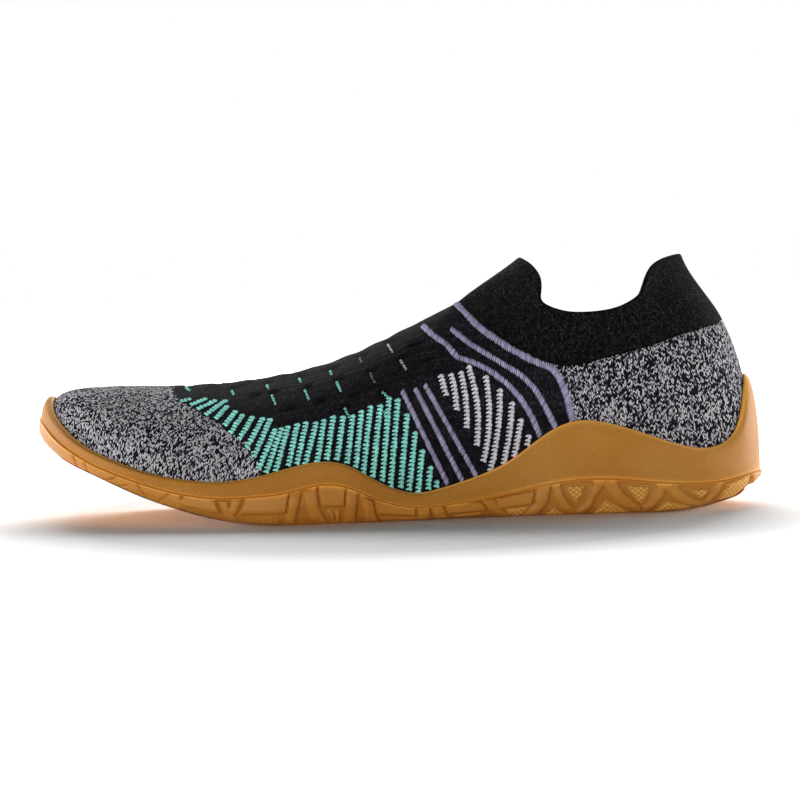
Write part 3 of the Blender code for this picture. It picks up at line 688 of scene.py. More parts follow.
def add_piece(name, points, faces, material, uv=None, marks=None, join=2e-6, sharp=40.0):
    """Object from loose quads; equal corners are joined, maps and marks are kept."""
    mesh = bpy.data.meshes.new(name)
    mesh.from_pydata(np.asarray(points).reshape(-1, 3).tolist(), [], np.asarray(faces).tolist())
    if uv is not None:
        corner = np.empty(len(mesh.loops), dtype=np.int32)
        mesh.loops.foreach_get("vertex_index", corner)
        layer = mesh.uv_layers.new(name="threads")
        flat = np.asarray(uv, dtype=np.float32).reshape(-1, 2)
        layer.data.foreach_set("uv", flat[corner].ravel())
    for key, values in (marks or {}).items():
        mark_points(mesh, key, values)
    work = bmesh.new()
    work.from_mesh(mesh)
    bmesh.ops.remove_doubles(work, verts=work.verts, dist=join)
    bmesh.ops.dissolve_degenerate(work, edges=work.edges, dist=join)
    bmesh.ops.recalc_face_normals(work, faces=work.faces)
    work.to_mesh(mesh)
    work.free()
    return show(name, mesh, material, sharp)


def grid_faces(rows, columns, first=0):
    """Quads of a grid of points stored row after row."""
    i, j = np.meshgrid(np.arange(rows - 1), np.arange(columns - 1), indexing="ij")
    a = (first + i * columns + j).ravel()
    return np.stack([a, a + 1, a + columns + 1, a + columns], axis=1)


class Sheets:
    """Grids of points with their thread maps and marks, gathered for one mesh."""

    def __init__(self, *marks):
        self.points, self.faces, self.maps = [], [], []
        self.marks = {key: [] for key in marks}
        self.count = 0

    def add(self, grid, flat, **marks):
        self.faces.append(grid_faces(grid.shape[0], grid.shape[1], self.count))
        self.count += grid[..., 0].size
        self.points.append(grid.reshape(-1, 3))
        self.maps.append(flat.reshape(-1, 2))
        for key, values in marks.items():
            self.marks[key].append(values.ravel())

    def piece(self, name, material, **finish):
        marks = {key: np.concatenate(values) for key, values in self.marks.items()}
        return add_piece(name, np.concatenate(self.points), np.concatenate(self.faces),
                         material, np.concatenate(self.maps), marks, **finish)


def segment_distance(s, z, line):
    """Distance from points to one straight stretch and how far along it they lie."""
    ax, az, bx, bz = line
    dx, dz = bx - ax, bz - az
    share = np.clip(((s - ax) * dx + (z - az) * dz) / (dx * dx + dz * dz), 0.0, 1.0)
    return np.hypot(s - ax - dx * share, z - az - dz * share), share


def inside_depth(s, z, corners):
    """Distance to the edge of a polygon, positive inside."""
    inside = np.zeros(s.shape, bool)
    near = np.full(s.shape, 1e9)
    for k in range(len(corners)):
        ax, az = corners[k - 1]
        bx, bz = corners[k]
        near = np.minimum(near, segment_distance(s, z, (ax, az, bx, bz))[0])
        crosses = (az > z) != (bz > z)
        level = np.where(az == bz, 1.0, bz - az)
        inside ^= crosses & (s < (bx - ax) * (z - az) / level + ax)
    return np.where(inside, near, -near)


def creases(s, z):
    """Height of the soft creases, in millimetres."""
    total = np.zeros(s.shape)
    for ax, az, bx, bz, half, tall in CREASES:
        away, share = segment_distance(s, z, (ax, az, bx, bz))
        total += tall * np.exp(-(away / half) ** 2) * (0.55 + 0.45 * np.sin(np.pi * share))
    return total


def slot_marks(s, z):
    """One in the middle of a slot, nothing away from it."""
    mark = np.zeros(s.shape)
    for place, up, half, lean, yarn in SLOTS:
        dark = yarn == "dark"
        fore = place + (1.8 if dark else half * lean + 0.9)
        high = up if dark else up + half + 0.2
        away = segment_distance(s, z, (fore, high, fore - 3.6, high + 0.9))[0]
        mark = np.maximum(mark, np.exp(-(away / 0.62) ** 4))
        if not dark:
            line = (place - half * lean, up - half, place + half * lean, up + half)
            away = segment_distance(s, z, line)[0]
            mark = np.maximum(mark, 0.7 * np.exp(-(away / 0.9) ** 2))
    return mark


# Places on the knit

@functools.lru_cache(maxsize=None)
def places_on(side):
    """Finder of places on one side, made once."""
    return Places(side)


class Places:
    """Finds the curve and the share of it that carry a place seen from the side."""

    def __init__(self, side):
        self.side = side
        self.ways = np.linspace(-0.9, 1.98, 240)
        self.shares = np.linspace(0.0, 1.0, 64)
        s, z = side_view(knit(side, self.ways[:, None], self.shares[None, :]))
        self.flat = np.stack([s.ravel(), z.ravel()], axis=1)

    def seen(self, way, share):
        return np.stack(side_view(knit(self.side, way, share)), axis=1)

    def find(self, s, z):
        spots = np.stack([s, z], axis=1)
        nearest = np.empty(len(spots), dtype=int)
        for k in range(0, len(spots), 64):
            gap = self.flat[None, :, :] - spots[k:k + 64, None, :]
            nearest[k:k + 64] = np.argmin((gap ** 2).sum(axis=2), axis=1)
        way = self.ways[nearest // len(self.shares)]
        share = self.shares[nearest % len(self.shares)]
        for _ in range(4):
            here = self.seen(way, share)
            step = 0.002
            w1 = np.minimum(way + step, 2.0)
            v1 = np.where(share > 0.5, share - step, share + step)
            by_way = (self.seen(w1, share) - here) / (w1 - way)[:, None]
            by_share = (self.seen(way, v1) - here) / (v1 - share)[:, None]
            det = by_way[:, 0] * by_share[:, 1] - by_way[:, 1] * by_share[:, 0]
            det = np.where(np.abs(det) < 1e-6, 1e-6, det)
            miss = spots - here
            dw = (miss[:, 0] * by_share[:, 1] - miss[:, 1] * by_share[:, 0]) / det
            dv = (by_way[:, 0] * miss[:, 1] - by_way[:, 1] * miss[:, 0]) / det
            way = np.clip(way + np.clip(dw, -0.02, 0.02), -0.95, 1.98)
            share = np.clip(share + np.clip(dv, -0.03, 0.03), 0.0, 1.0)
        return way, share


def creased_knit(side, way, share):
    """Outside of the knit with its creases, and its normals."""
    flat = knit(side, way, share)
    out = side_normals(knit, side, way, np.minimum(share, 0.985))
    s, z = side_view(flat)
    edge = spline(CUP_LINES, 1, way, True) * INSTEP_HEIGHT / MM
    fade = np.clip((z - edge - 1.0) / 5.0, 0.0, 1.0)
    fade = fade * np.clip((1.0 - share) / 0.04, 0.0, 1.0) ** (np.asarray(way) > 1.0)
    tall = (CREASE_SHARE * creases(s, z) - SLOT_DEPTH * slot_marks(s, z)) * fade * MM
    return flat + out * tall[..., None], out


# Materials

class Web:
    """Small helper that wires the nodes of one material."""

    def __init__(self, name):
        self.material = bpy.data.materials.new(name)
        self.material.use_nodes = True
        self.tree = self.material.node_tree
        self.shader = self.tree.nodes["Principled BSDF"]

    def node(self, kind, **settings):
        made = self.tree.nodes.new(kind)
        for key, value in settings.items():
            setattr(made, key, value)
        return made

    def feed(self, socket, value):
        if isinstance(value, bpy.types.NodeSocket):
            self.tree.links.new(value, socket)
        else:
            socket.default_value = value

    def math(self, operation, a, b=0.0, c=0.0):
        made = self.node("ShaderNodeMath", operation=operation)
        for socket, value in zip(made.inputs, (a, b, c)):
            self.feed(socket, value)
        return made.outputs[0]

    times = functools.partialmethod(math, "MULTIPLY")
    times_plus = functools.partialmethod(math, "MULTIPLY_ADD")
    plus = functools.partialmethod(math, "ADD")
    minus = functools.partialmethod(math, "SUBTRACT")
    over = functools.partialmethod(math, "DIVIDE")
    power = functools.partialmethod(math, "POWER")
    floor = functools.partialmethod(math, "FLOOR")
    sine = functools.partialmethod(math, "SINE")

    def blend(self, share, a, b):
        made = self.node("ShaderNodeMix", data_type="RGBA")
        self.feed(made.inputs[0], share)
        self.feed(made.inputs[6], a)
        self.feed(made.inputs[7], b)
        return made.outputs[2]

    def darken(self, colour, shade):
        made = self.node("ShaderNodeMix", data_type="RGBA", blend_type="MULTIPLY")
        made.inputs[0].default_value = 1.0
        self.feed(made.inputs[6], colour)
        self.feed(made.inputs[7], self.pair(shade, shade, shade))
        return made.outputs[2]

    def ramp(self, value, stops, steps=False):
        made = self.node("ShaderNodeValToRGB")
        made.color_ramp.interpolation = "CONSTANT" if steps else "LINEAR"
        while len(made.color_ramp.elements) < len(stops):
            made.color_ramp.elements.new(0.5)
        for element, (place, colour) in zip(made.color_ramp.elements, stops):
            element.position = place
            element.color = (*colour, 1.0)
        self.feed(made.inputs[0], value)
        return made.outputs[0]

    def mark(self, name):
        return self.node("ShaderNodeAttribute", attribute_name=name).outputs["Fac"]

    def threads(self):
        place = self.node("ShaderNodeUVMap", uv_map="threads").outputs[0]
        apart = self.node("ShaderNodeSeparateXYZ")
        self.feed(apart.inputs[0], place)
        return apart.outputs[0], apart.outputs[1]

    def pair(self, x, y, z=0.0):
        made = self.node("ShaderNodeCombineXYZ")
        for socket, value in zip(made.inputs, (x, y, z)):
            self.feed(socket, value)
        return made.outputs[0]

    def noise(self, place, scale, detail=2.0):
        made = self.node("ShaderNodeTexNoise")
        self.feed(made.inputs["Vector"], place)
        made.inputs["Scale"].default_value = scale
        made.inputs["Detail"].default_value = detail
        return made.outputs[0]

    def dice(self, place):
        made = self.node("ShaderNodeTexWhiteNoise", noise_dimensions="3D")
        self.feed(made.inputs["Vector"], place)
        return made.outputs["Value"]

    def solid_place(self):
        return self.node("ShaderNodeTexCoord").outputs["Object"]

    def bump(self, height, depth, strength=1.0, before=None):
        made = self.node("ShaderNodeBump")
        made.inputs["Strength"].default_value = strength
        made.inputs["Distance"].default_value = depth
        self.feed(made.inputs["Height"], height)
        if before is not None:
            self.feed(made.inputs["Normal"], before)
        return made.outputs[0]

    def finish(self, colour, roughness, normal=None, **constants):
        self.feed(self.shader.inputs["Base Color"], colour)
        self.feed(self.shader.inputs["Roughness"], roughness)
        if normal is not None:
            self.feed(self.shader.inputs["Normal"], normal)
        for key, value in constants.items():
            socket = key.replace("_", " ").title().replace("Ior", "IOR")
            self.shader.inputs[socket].default_value = value
        return self.material


def scaled(colour, share):
    """Colour made darker or lighter."""
    return tuple(share * c for c in colour)


def stitch_cells(web, leg, course, lean):
    """Cells of plain knit: their column, their row and the height of the yarn."""
    x, y = web.threads()
    sway = web.times(web.noise(web.pair(x, y, 4.0), 0.22, 1.0), 3.0)
    across = web.plus(web.over(x, leg), sway)
    column = web.floor(across)
    part = web.math("FRACT", across)
    parity = web.math("FLOORED_MODULO", column, 2.0)
    turn = web.minus(web.times(parity, 2.0), 1.0)
    slant = web.times(web.times(web.minus(part, 0.5), turn), lean)
    wander = web.times(web.noise(web.pair(x, y), 0.35, 1.0), 0.8)
    down = web.plus(web.plus(web.over(y, course), slant), wander)
    row = web.floor(down)
    round_across = web.sine(web.times(part, math.pi))
    round_down = web.sine(web.times(web.math("FRACT", down), math.pi))
    tall = web.times(web.power(round_across, 0.6), web.power(round_down, 0.6))
    return column, row, tall


def knit_material(settings):
    """Marl at toe and heel, black between; painted shade darkens the gaps between stitches and the
    slots.
    """
    web = Web("marl and black knit")
    leg = settings.wale * 0.5 * TO_MM
    column, row, tall = stitch_cells(web, leg, settings.course * TO_MM, 1.15)
    first = web.dice(web.pair(column, row, 0.0))
    second = web.dice(web.pair(column, row, 7.0))
    streak = web.dice(web.pair(0.0, row, 11.0))

    jitter = web.times(web.minus(second, 0.5), 1.4)
    heel = web.math("GREATER_THAN", web.plus(web.mark("heel"), jitter), 0.0)
    toe = web.math("GREATER_THAN", web.plus(web.mark("toe"), jitter), 0.0)
    zone = web.math("MAXIMUM", toe, heel)

    light, grey = tuple(settings.marl_light), tuple(settings.marl_grey)
    halfway = tuple(0.5 * (a + b) for a, b in zip(light, grey))
    marl = web.ramp(web.times_plus(heel, -0.10, first), (
        (0.0, tuple(settings.marl_dark)), (0.40, scaled(grey, 0.38)), (0.46, grey),
        (0.53, halfway), (0.59, light)), True)
    yarn = tuple(settings.black_yarn)
    lot = web.times_plus(streak, 0.4, web.times(second, 0.6))
    black = web.ramp(lot, ((0.0, scaled(yarn, 0.3)), (0.6, yarn), (1.0, scaled(yarn, 4.0))))

    x, y = web.threads()
    fibre = web.noise(web.pair(web.times(x, 3.0), web.times(y, 2.2)), 1.0, 2.0)
    # Painted shade: the colour darkens where the yarn is low, in the gaps between the stitches.
    gap = web.times(web.power(tall, 1.2), 1.5)
    gap = web.times_plus(web.math("MINIMUM", gap, 1.0), 0.92, 0.08)
    shade = web.times(gap, web.times_plus(fibre, 0.9, 0.5))
    shade = web.times(shade, web.times_plus(heel, -0.12, 1.0))
    # Painted shade: the colour is darkened in the slots' dents.
    shade = web.times(shade, web.times_plus(web.mark("slot"), -0.85, 1.0))
    colour = web.darken(web.blend(zone, black, marl), shade)
    depth = web.times(tall, web.times_plus(zone, 0.2, 0.8))
    normal = web.bump(depth, 0.00035, 0.9)
    return web.finish(colour, 0.92, normal, sheen_weight=0.015, sheen_roughness=0.5,
                      specular_ior_level=0.06)


def yarn_material(name, colour, spread):
    """Raised yarn: each stitch a little lighter or darker, twisted fibre on top."""
    web = Web(name)
    shade = web.times_plus(web.mark("shade"), spread, 1.0 - 0.5 * spread)
    fibre = web.noise(web.solid_place(), 2600.0, 2.0)
    value = web.times(shade, web.times_plus(fibre, 1.1, 0.45))
    normal = web.bump(fibre, 0.00012, 0.6)
    return web.finish(web.darken((*colour, 1.0), value), 0.85, normal, sheen_weight=0.03,
                      sheen_roughness=0.5, specular_ior_level=0.15)


def rib_material(settings):
    """Black rib: proud columns, short courses, now and then a lighter stitch, and painted shade
    between the ribs.
    """
    web = Web("black rib")
    x, y = web.threads()
    pitch, course = settings.rib * TO_MM, 0.8
    wave = web.math("ABSOLUTE", web.sine(web.times(x, math.pi / pitch)))
    rung = web.math("ABSOLUTE", web.sine(web.times(y, math.pi / course)))
    tall = web.times(web.power(wave, 0.7), web.times_plus(rung, 0.3, 0.7))
    speck = web.dice(web.pair(web.floor(web.over(x, pitch)), web.floor(web.over(y, course)), 3.0))
    yarn = tuple(settings.rib_yarn)
    # Painted shade: the colour darkens where the rib is low, between columns and courses; the speck
    # varies at random.
    tone = web.times(speck, web.times_plus(tall, 0.8, 0.2))
    colour = web.ramp(tone, ((0.0, scaled(yarn, 0.2)), (0.45, scaled(yarn, 1.2)),
                             (0.80, scaled(yarn, 3.0)), (1.0, scaled(yarn, 9.0))))
    normal = web.bump(tall, 0.00040, 0.9)
    return web.finish(colour, 0.9, normal, sheen_weight=0.01, sheen_roughness=0.5,
                      specular_ior_level=0.06)


def crossed_lines(web, x, y, pitch):
    """Height between the lines of two families that cross, nothing on the lines."""
    return [web.math("ABSOLUTE", web.sine(web.times(turned, math.pi / pitch)))
            for turned in (web.plus(x, y), web.minus(x, y))]


def gum_material(settings):
    """Clouded amber rubber: knurled wall, lip with a painted highlight, grooves, knurl and cuts
    darkened with painted shade, hatched facets.
    """
    web = Web("gum rubber")
    x, y = web.threads()
    place = web.solid_place()
    cloud = web.noise(place, 26.0, 3.0)
    fine = web.noise(place, 1400.0, 2.0)
    tone = web.plus(cloud, web.times(web.minus(fine, 0.5), 0.25))
    colour = web.ramp(tone, ((0.30, tuple(settings.gum_dark)), (0.52, tuple(settings.gum)),
                             (0.74, tuple(settings.gum_pale_and_highlight))))
    deep, light = (*settings.gum_recess_shade, 1.0), (*settings.gum_pale_and_highlight, 1.0)
    # Painted shade: the deep mark darkens the grooves, the groove under the step, the hollows
    # between the lugs and the inside of the cup.
    colour = web.blend(web.times(web.mark("deep"), 0.75), colour, deep)
    # Painted highlight: the lip and the top of the wall are lightened toward pale rubber.
    colour = web.blend(web.times(web.mark("lip"), 0.55), colour, light)
    weave = web.times(*crossed_lines(web, x, y, settings.knurl * TO_MM))
    wall = web.mark("wall")
    # Painted shade: the knurl's lines are darkened toward the shade colour.
    dark = web.times(web.minus(1.0, weave), web.times(wall, 0.80))
    colour = web.blend(dark, colour, deep)
    facet = web.mark("facet")
    hatch = web.math("MINIMUM", *crossed_lines(web, x, web.times(y, 1.3), 2.3))
    lines = web.math("MINIMUM", web.times(hatch, 3.0), 1.0)
    cut = web.times(web.minus(1.0, lines), facet)
    colour = web.blend(web.times(facet, 0.85), colour, light)
    # Painted shade in the cut lines of the hatching.
    colour = web.blend(web.times(cut, 0.7), colour, deep)
    tall = web.minus(web.times(web.times(weave, wall), 0.6), cut)
    normal = web.bump(fine, 0.00006, 0.5, web.bump(tall, 0.00045, 0.9))
    rough = web.times_plus(cloud, 0.15, 0.40)
    return web.finish(colour, rough, normal, coat_weight=0.04, coat_roughness=0.35,
                      specular_ior_level=0.20)


def footbed_material(settings):
    """Dark knit face of the footbed, with painted shade between the stitches."""
    web = Web("footbed knit")
    column, row, tall = stitch_cells(web, 0.55, 0.8, 0.6)
    yarn = tuple(settings.rib_yarn)
    # Painted shade: the colour darkens where the yarn is low, between the stitches.
    tone = web.times(web.dice(web.pair(column, row, 0.0)), web.times_plus(tall, 0.7, 0.3))
    colour = web.ramp(tone, ((0.0, scaled(yarn, 0.7)), (1.0, scaled(yarn, 3.0))))
    return web.finish(colour, 0.92, web.bump(tall, 0.0002, 0.7), sheen_weight=0.05)


# Pieces

def knit_map(side, ways, points):
    """Thread map of the knit in millimetres, laid out flat from the ridge."""
    run = np.linalg.norm(np.diff(points, axis=1), axis=2)
    climb = np.concatenate([np.zeros((len(ways), 1)), np.cumsum(run, axis=1)], axis=1) / MM
    below = climb[:, -1:] - climb
    along = lengths(ridge(ways)) / MM
    round_edge = lengths(outline(side, ways)[0]) / MM
    front = int(np.argmin(np.abs(ways - 1.0)))
    after = np.where(ways > 1.0, round_edge - round_edge[front], 0.0)
    angle = np.radians(np.clip(ways + 1.0, 0.0, 1.0) * 90.0)
    x = (along + after)[:, None] - below * np.cos(angle)[:, None]
    y = side * below * np.sin(angle)[:, None]
    level = climb[front, -1] - climb
    y = np.where((ways > 1.0)[:, None], side * level, y)
    return np.stack([x, y], axis=2)


def lay_knit(settings):
    """Knit body from the feather line to the ridge and the cuff."""
    ways = body_stations(settings.stations)
    shares = np.linspace(0.0, 1.0, settings.rows)
    toe_s, toe_z = np.transpose(TOE_EDGE)
    heel_s, heel_z = np.transpose(HEEL_LINE[::-1])
    sheets = Sheets("toe", "heel", "slot")
    for side in (-1, 1):
        flat = knit(side, ways[:, None], shares[None, :])
        s, z = side_view(flat)
        sheets.add(creased_knit(side, ways[:, None], shares[None, :])[0],
                   knit_map(side, ways, flat),
                   toe=(s - np.interp(z, toe_z, toe_s)) * 0.7,
                   heel=(np.interp(z, heel_z, heel_s) - s) * 0.7,
                   slot=slot_marks(s, z))
    piece = sheets.piece("knit_upper", knit_material(settings), sharp=None)
    wall = piece.modifiers.new("wall", "SOLIDIFY")
    wall.thickness = KNIT
    wall.offset = -1.0
    wall.use_even_offset = True
    wall.use_quality_normals = True
    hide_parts("upper")
    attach(piece, "root")
    return piece


def lay_collar(settings):
    """Ribbed collar with a rolled rim and a soft inside."""
    ways = stations(1.0, 2.0, settings.stations)
    middle = int(np.argmin(np.abs(ways - 1.5)))
    shares = np.linspace(0.0, 1.0, COLLAR_ROWS)
    half = RIB_KNIT * 0.5
    sheets = Sheets()
    for side in (-1, 1):
        skin = collar_skin(side, ways[:, None], shares[None, :])
        up = unit(skin[:, -1] - skin[:, -2])
        top = 1.0 - half / np.linalg.norm(skin[:, -1] - skin[:, 0], axis=1)
        # Outside from just under the cuff line up, over the rounded rim, down the inside
        rows = [collar_skin(side, ways, np.full(len(ways), -0.002))]
        for share in shares:
            rows.append(collar_skin(side, ways, share * top))
        edge = rows[-1]
        lip = collar_normals(side, ways, top)
        for angle in np.radians((30.0, 60.0, 90.0, 120.0, 150.0)):
            rows.append(edge + lip * half * (math.cos(angle) - 1.0) + up * half * math.sin(angle))
        for share in (1.0, 0.8, 0.55, 0.3, 0.0):
            v = share * top
            rows.append(collar_skin(side, ways, v) - collar_normals(side, ways, v) * RIB_KNIT)
        grid = np.stack(rows, axis=1)
        width = grid.shape[1]
        level = np.hypot(*np.moveaxis(np.diff(grid[..., :2], axis=0), 2, 0))
        plan = np.concatenate([np.zeros((1, width)), np.cumsum(level, axis=0)], axis=0) / MM
        x = plan - plan[middle] + grid[middle, :, 0] / MM + 0.10 * grid[..., 2] / MM
        first = sheets.count + np.arange(len(ways) - 1) * width
        last = first + width - 1
        sheets.add(grid, np.stack([x, grid[..., 2] / MM], axis=2))
        sheets.faces.append(np.stack([last, last + width, first + width, first], axis=1))
    piece = sheets.piece("rib_collar", rib_material(settings), join=3e-5, sharp=None)
    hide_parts("collar")
    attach(piece, "root")
    return piece


def lug_relief(s, z):
    """Share of full height of the lug band, and how much of a facet each place is."""
    proud = np.zeros(s.shape)
    facet = np.zeros(s.shape)
    for kind, *corners in LUGS:
        near = (s > min(c[0] for c in corners) - 2.0) & (s < max(c[0] for c in corners) + 2.0)
        depth = np.full(s.shape, -9.0)
        depth[near] = inside_depth(s[near], z[near], corners)
        step = np.clip((depth + 0.25) / 0.6, 0.0, 1.0)
        step = step * step * (3.0 - 2.0 * step)
        if kind == "teeth":
            ripple = 0.5 + 0.5 * np.cos(2.0 * np.pi * s / 2.1 + 0.5 * z)
            height = 0.35 + 0.45 * ripple
        elif kind == "strap":
            height = 0.86 + 0.14 * np.clip(depth / 1.6, 0.0, 1.0)
        else:
            height = LUG_HEIGHT[kind]
        proud = np.maximum(proud, step * height)
        if kind == "facet":
            facet = np.maximum(facet, step)
    front = np.clip((s - BAND_FRONT) / 0.7, 0.0, 1.0)
    for (ax, az), (bx, bz) in TOE_GROOVES:
        away = segment_distance(s, z, (ax, az, bx, bz))[0]
        front = front * (1.0 - 0.7 * np.exp(-(away / 0.30) ** 2))
    proud = np.maximum(proud, front)
    proud = np.maximum(proud, np.clip((5.2 - s) / 0.7, 0.0, 1.0))
    return proud, facet


def mould_cup(settings):
    """Gum cup sole: knurled wall, step, lug band with its relief, grooved tread."""
    ways = body_stations(settings.stations)
    sheets = Sheets("deep", "lip", "wall", "facet")
    lean_share, lean_in = np.transpose(EDGE_ROLL)
    lip_half = CUP_LIP * 0.5
    drop = np.array([0.0, 0.0, 1.0])
    ends = {}
    for side in (-1, 1):
        edge, out = outline(side, ways)
        top = height_share(side, ways, 1)
        step = np.minimum(height_share(side, ways, 2), top - 0.04)
        rows, kinds = [], []

        def add(row, **marks):
            rows.append(row)
            kinds.append(marks)

        # Edge of the floor and inside of the wall, darkened with painted shade
        base = edge - out * (CUP_WALL + GAP + KNIT * 0.5)
        base[:, 2] = floor_top(base[:, 0])
        add(base, deep=0.5)
        for share in (0.0, 0.4, 0.75, 0.96):
            v = top * share
            add(knit(side, ways, v) + normals(knit, side, ways, v) * GAP, deep=0.4)
        rows[1][:, 2] = floor_top(rows[1][:, 0])

        # Rounded lip, marked for a painted highlight
        crest = knit(side, ways, top)
        away = normals(knit, side, ways, top)
        climb = unit(crest - knit(side, ways, top * 0.97))
        for angle in np.radians((0.0, 45.0, 90.0, 135.0, 180.0)):
            reach = GAP * 0.4 + lip_half * (1.0 - math.cos(angle))
            add(crest + away * reach + climb * lip_half * (math.sin(angle) - 0.6), lip=1.0)

        # Outside of the wall, thin at the lip, down to the step, and the step itself
        for k in range(WALL_ROWS):
            share = 0.965 - 0.945 * k / (WALL_ROWS - 1)
            v = step + (top - step) * share
            thick = CUP_WALL - (CUP_WALL - CUP_LIP) * math.exp(-(1.0 - share) * 9.0)
            # The lip mark paints a highlight that fades down from the top edge; the wall mark
            # carries the knurl.
            add(knit(side, ways, v) + normals(knit, side, ways, v) * (GAP + thick),
                lip=math.exp(-(1.0 - share) * 11.0),
                wall=min(1.0, (1.0 - share) * 12.0, share * 14.0))
        foot = rows[-1]
        foot_out = normals(knit, side, ways, step)
        # Painted shade in the groove under the step, and a painted highlight on the step's edge.
        for outward, down, deep, lip in STEP_ROWS:
            add(foot + foot_out * outward - drop * down, deep=deep, lip=lip)

        # Lug band, rolled in at the bottom, with its relief
        low = underside(edge[:, 0])
        shoulder = rows[-1]
        tall = np.maximum(shoulder[:, 2] - low, 0.003)
        full = ((shoulder - edge)[:, :2] * out[:, :2]).sum(axis=1)
        for k in range(1, FLANK_ROWS + 1):
            share = 1.0 - k / FLANK_ROWS
            share = share * 0.985 if k < FLANK_ROWS else 0.0
            inset = np.interp(share, lean_share, lean_in) * TREAD_EDGE
            blend_top = np.clip((share - 0.55) / 0.45, 0.0, 1.0)
            reach = -inset * (1.0 - blend_top) + full * blend_top
            row = edge + out * reach[:, None]
            row[:, 2] = low + tall * share
            proud, facet = lug_relief(*side_view(row))
            fade = min(1.0, (1.0 - share) / 0.04)
            lower = np.clip(share / 0.05, 0.0, 1.0)
            row = row - out * (settings.relief * (1.0 - proud) * lower * fade)[:, None]
            # Painted shade in the hollows between the lugs; the whole band is also made darker from
            # just below the step down.
            band_darker = 0.72 * min(1.0, (1.0 - share) / 0.10)
            add(row, deep=np.maximum((1.0 - proud) * 0.9 * fade, band_darker), facet=facet)

        grid = np.stack(rows, axis=1)
        run = lengths(edge) / MM
        marks = {key: np.stack([np.zeros(len(ways)) + kind.get(key, 0.0) for kind in kinds], axis=1)
                 for key in sheets.marks}
        sheets.add(grid, np.stack([run[:, None] + 0.0 * grid[..., 2], grid[..., 2] / MM], axis=2),
                   **marks)
        ends[side] = (grid[:, 0], grid[:, -1])

    # Floor inside and grooved tread, from side to side
    for which, steps in ((0, FLOOR_STEPS), (1, TREAD_STEPS)):
        share = np.linspace(0.0, 1.0, steps + 1)[None, :, None]
        sheet = ends[-1][which][:, None, :] * (1.0 - share) + ends[1][which][:, None, :] * share
        deep = np.zeros(sheet.shape[:2])
        if which == 1:
            s = side_view(sheet)[0]
            across = share[..., 0] + 0.0 * s
            inner = np.clip(np.minimum(across, 1.0 - across) / 0.10, 0.0, 1.0)
            for place, bow in TREAD_GROOVES:
                middle = place * LENGTH / MM - bow * TREAD_BOW * 4.0 * across * (1.0 - across)
                groove = np.clip((1.7 - np.abs(s - middle)) / 0.5, 0.0, 1.0)
                deep = np.maximum(deep, groove * inner)
            sheet[..., 2] = underside(sheet[..., 0]) + deep * TREAD_DEPTH
        plain = np.zeros(deep.shape)
        # On the tread, the groove depth also paints shade into the grooves.
        sheets.add(sheet, sheet[..., :2] / MM, deep=deep, lip=plain, wall=plain, facet=plain)
    piece = sheets.piece("gum_cup_sole", gum_material(settings), join=8e-6, sharp=50.0)
    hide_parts("cup_sole")
    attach(piece, "root")
    return piece


def lay_footbed(settings):
    """Footbed inside the shoe, knit on top."""
    ways = body_stations(FOOTBED_STATIONS)
    rims = []
    for side in (-1, 1):
        edge, out = outline(side, ways)
        rims.append(edge - out * (CUP_WALL + KNIT + 3 * GAP))
    share = np.linspace(0.0, 1.0, FOOTBED_COLUMNS)[None, :, None]
    sheet = rims[0][:, None, :] * (1.0 - share) + rims[1][:, None, :] * share
    sheets = Sheets()
    for lift in (INSOLE, 0.0):
        layer = sheet.copy()
        layer[..., 2] = floor_top(layer[..., 0]) + GAP + lift
        if lift:
            round_off = np.clip(np.minimum(share[..., 0], 1.0 - share[..., 0]) / 0.06, 0.0, 1.0)
            layer[..., 2] -= 0.0006 * (1.0 - round_off) ** 2
        sheets.add(layer, layer[..., :2] / MM)
    rim = np.arange(len(ways) - 1) * FOOTBED_COLUMNS
    below = len(ways) * FOOTBED_COLUMNS
    for a in (rim, rim + FOOTBED_COLUMNS - 1):
        b = a + FOOTBED_COLUMNS
        sheets.faces.append(np.stack([a, b, b + below, a + below], axis=1))
    piece = sheets.piece("footbed_cover", footbed_material(settings))
    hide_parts("insole")
    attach(piece, "root")
    return piece


def stitch_form():
    """Corners and faces of one plump stitch, one unit long, wide and high."""
    corners = [(-1.0, 0.0, 0.0)]
    rings = (-0.62, 0.0, 0.62)
    around = 6
    for place in rings:
        size = math.sqrt(1.0 - place * place)
        for k in range(around):
            angle = 2.0 * math.pi * k / around
            corners.append((place, size * math.cos(angle), size * math.sin(angle)))
    corners.append((1.0, 0.0, 0.0))
    faces = []
    for k in range(around):
        m = (k + 1) % around
        faces.append((0, 1 + m, 1 + k))
        for ring in range(len(rings) - 1):
            a = 1 + ring * around
            faces.append((a + k, a + m, a + around + m, a + around + k))
        a = 1 + (len(rings) - 1) * around
        faces.append((a + k, a + m, len(corners) - 1))
    return np.array(corners), faces


def run_line(places, side, corners, pitch):
    """Points and shares at even steps along a line seen from the side."""
    s, z = [], []
    for (ax, az), (bx, bz) in zip(corners[:-1], corners[1:]):
        steps = max(2, int(math.hypot(bx - ax, bz - az) / 0.5))
        share = np.arange(steps) / steps
        s.append(ax + (bx - ax) * share)
        z.append(az + (bz - az) * share)
    s = np.append(np.concatenate(s), corners[-1][0])
    z = np.append(np.concatenate(z), corners[-1][1])
    if len(corners) > 2:
        kernel = np.ones(9) / 9.0
        s = np.concatenate([s[:4], np.convolve(s, kernel, "valid"), s[-4:]])
        z = np.concatenate([z[:4], np.convolve(z, kernel, "valid"), z[-4:]])
    way, share = places.find(s, z)
    points = knit(side, way, share)
    run = lengths(points) / MM
    count = max(2, int(run[-1] / pitch) + 1)
    at = np.linspace(0.0, (count - 1) * pitch, count)
    return np.interp(at, run, way), np.interp(at, run, share)


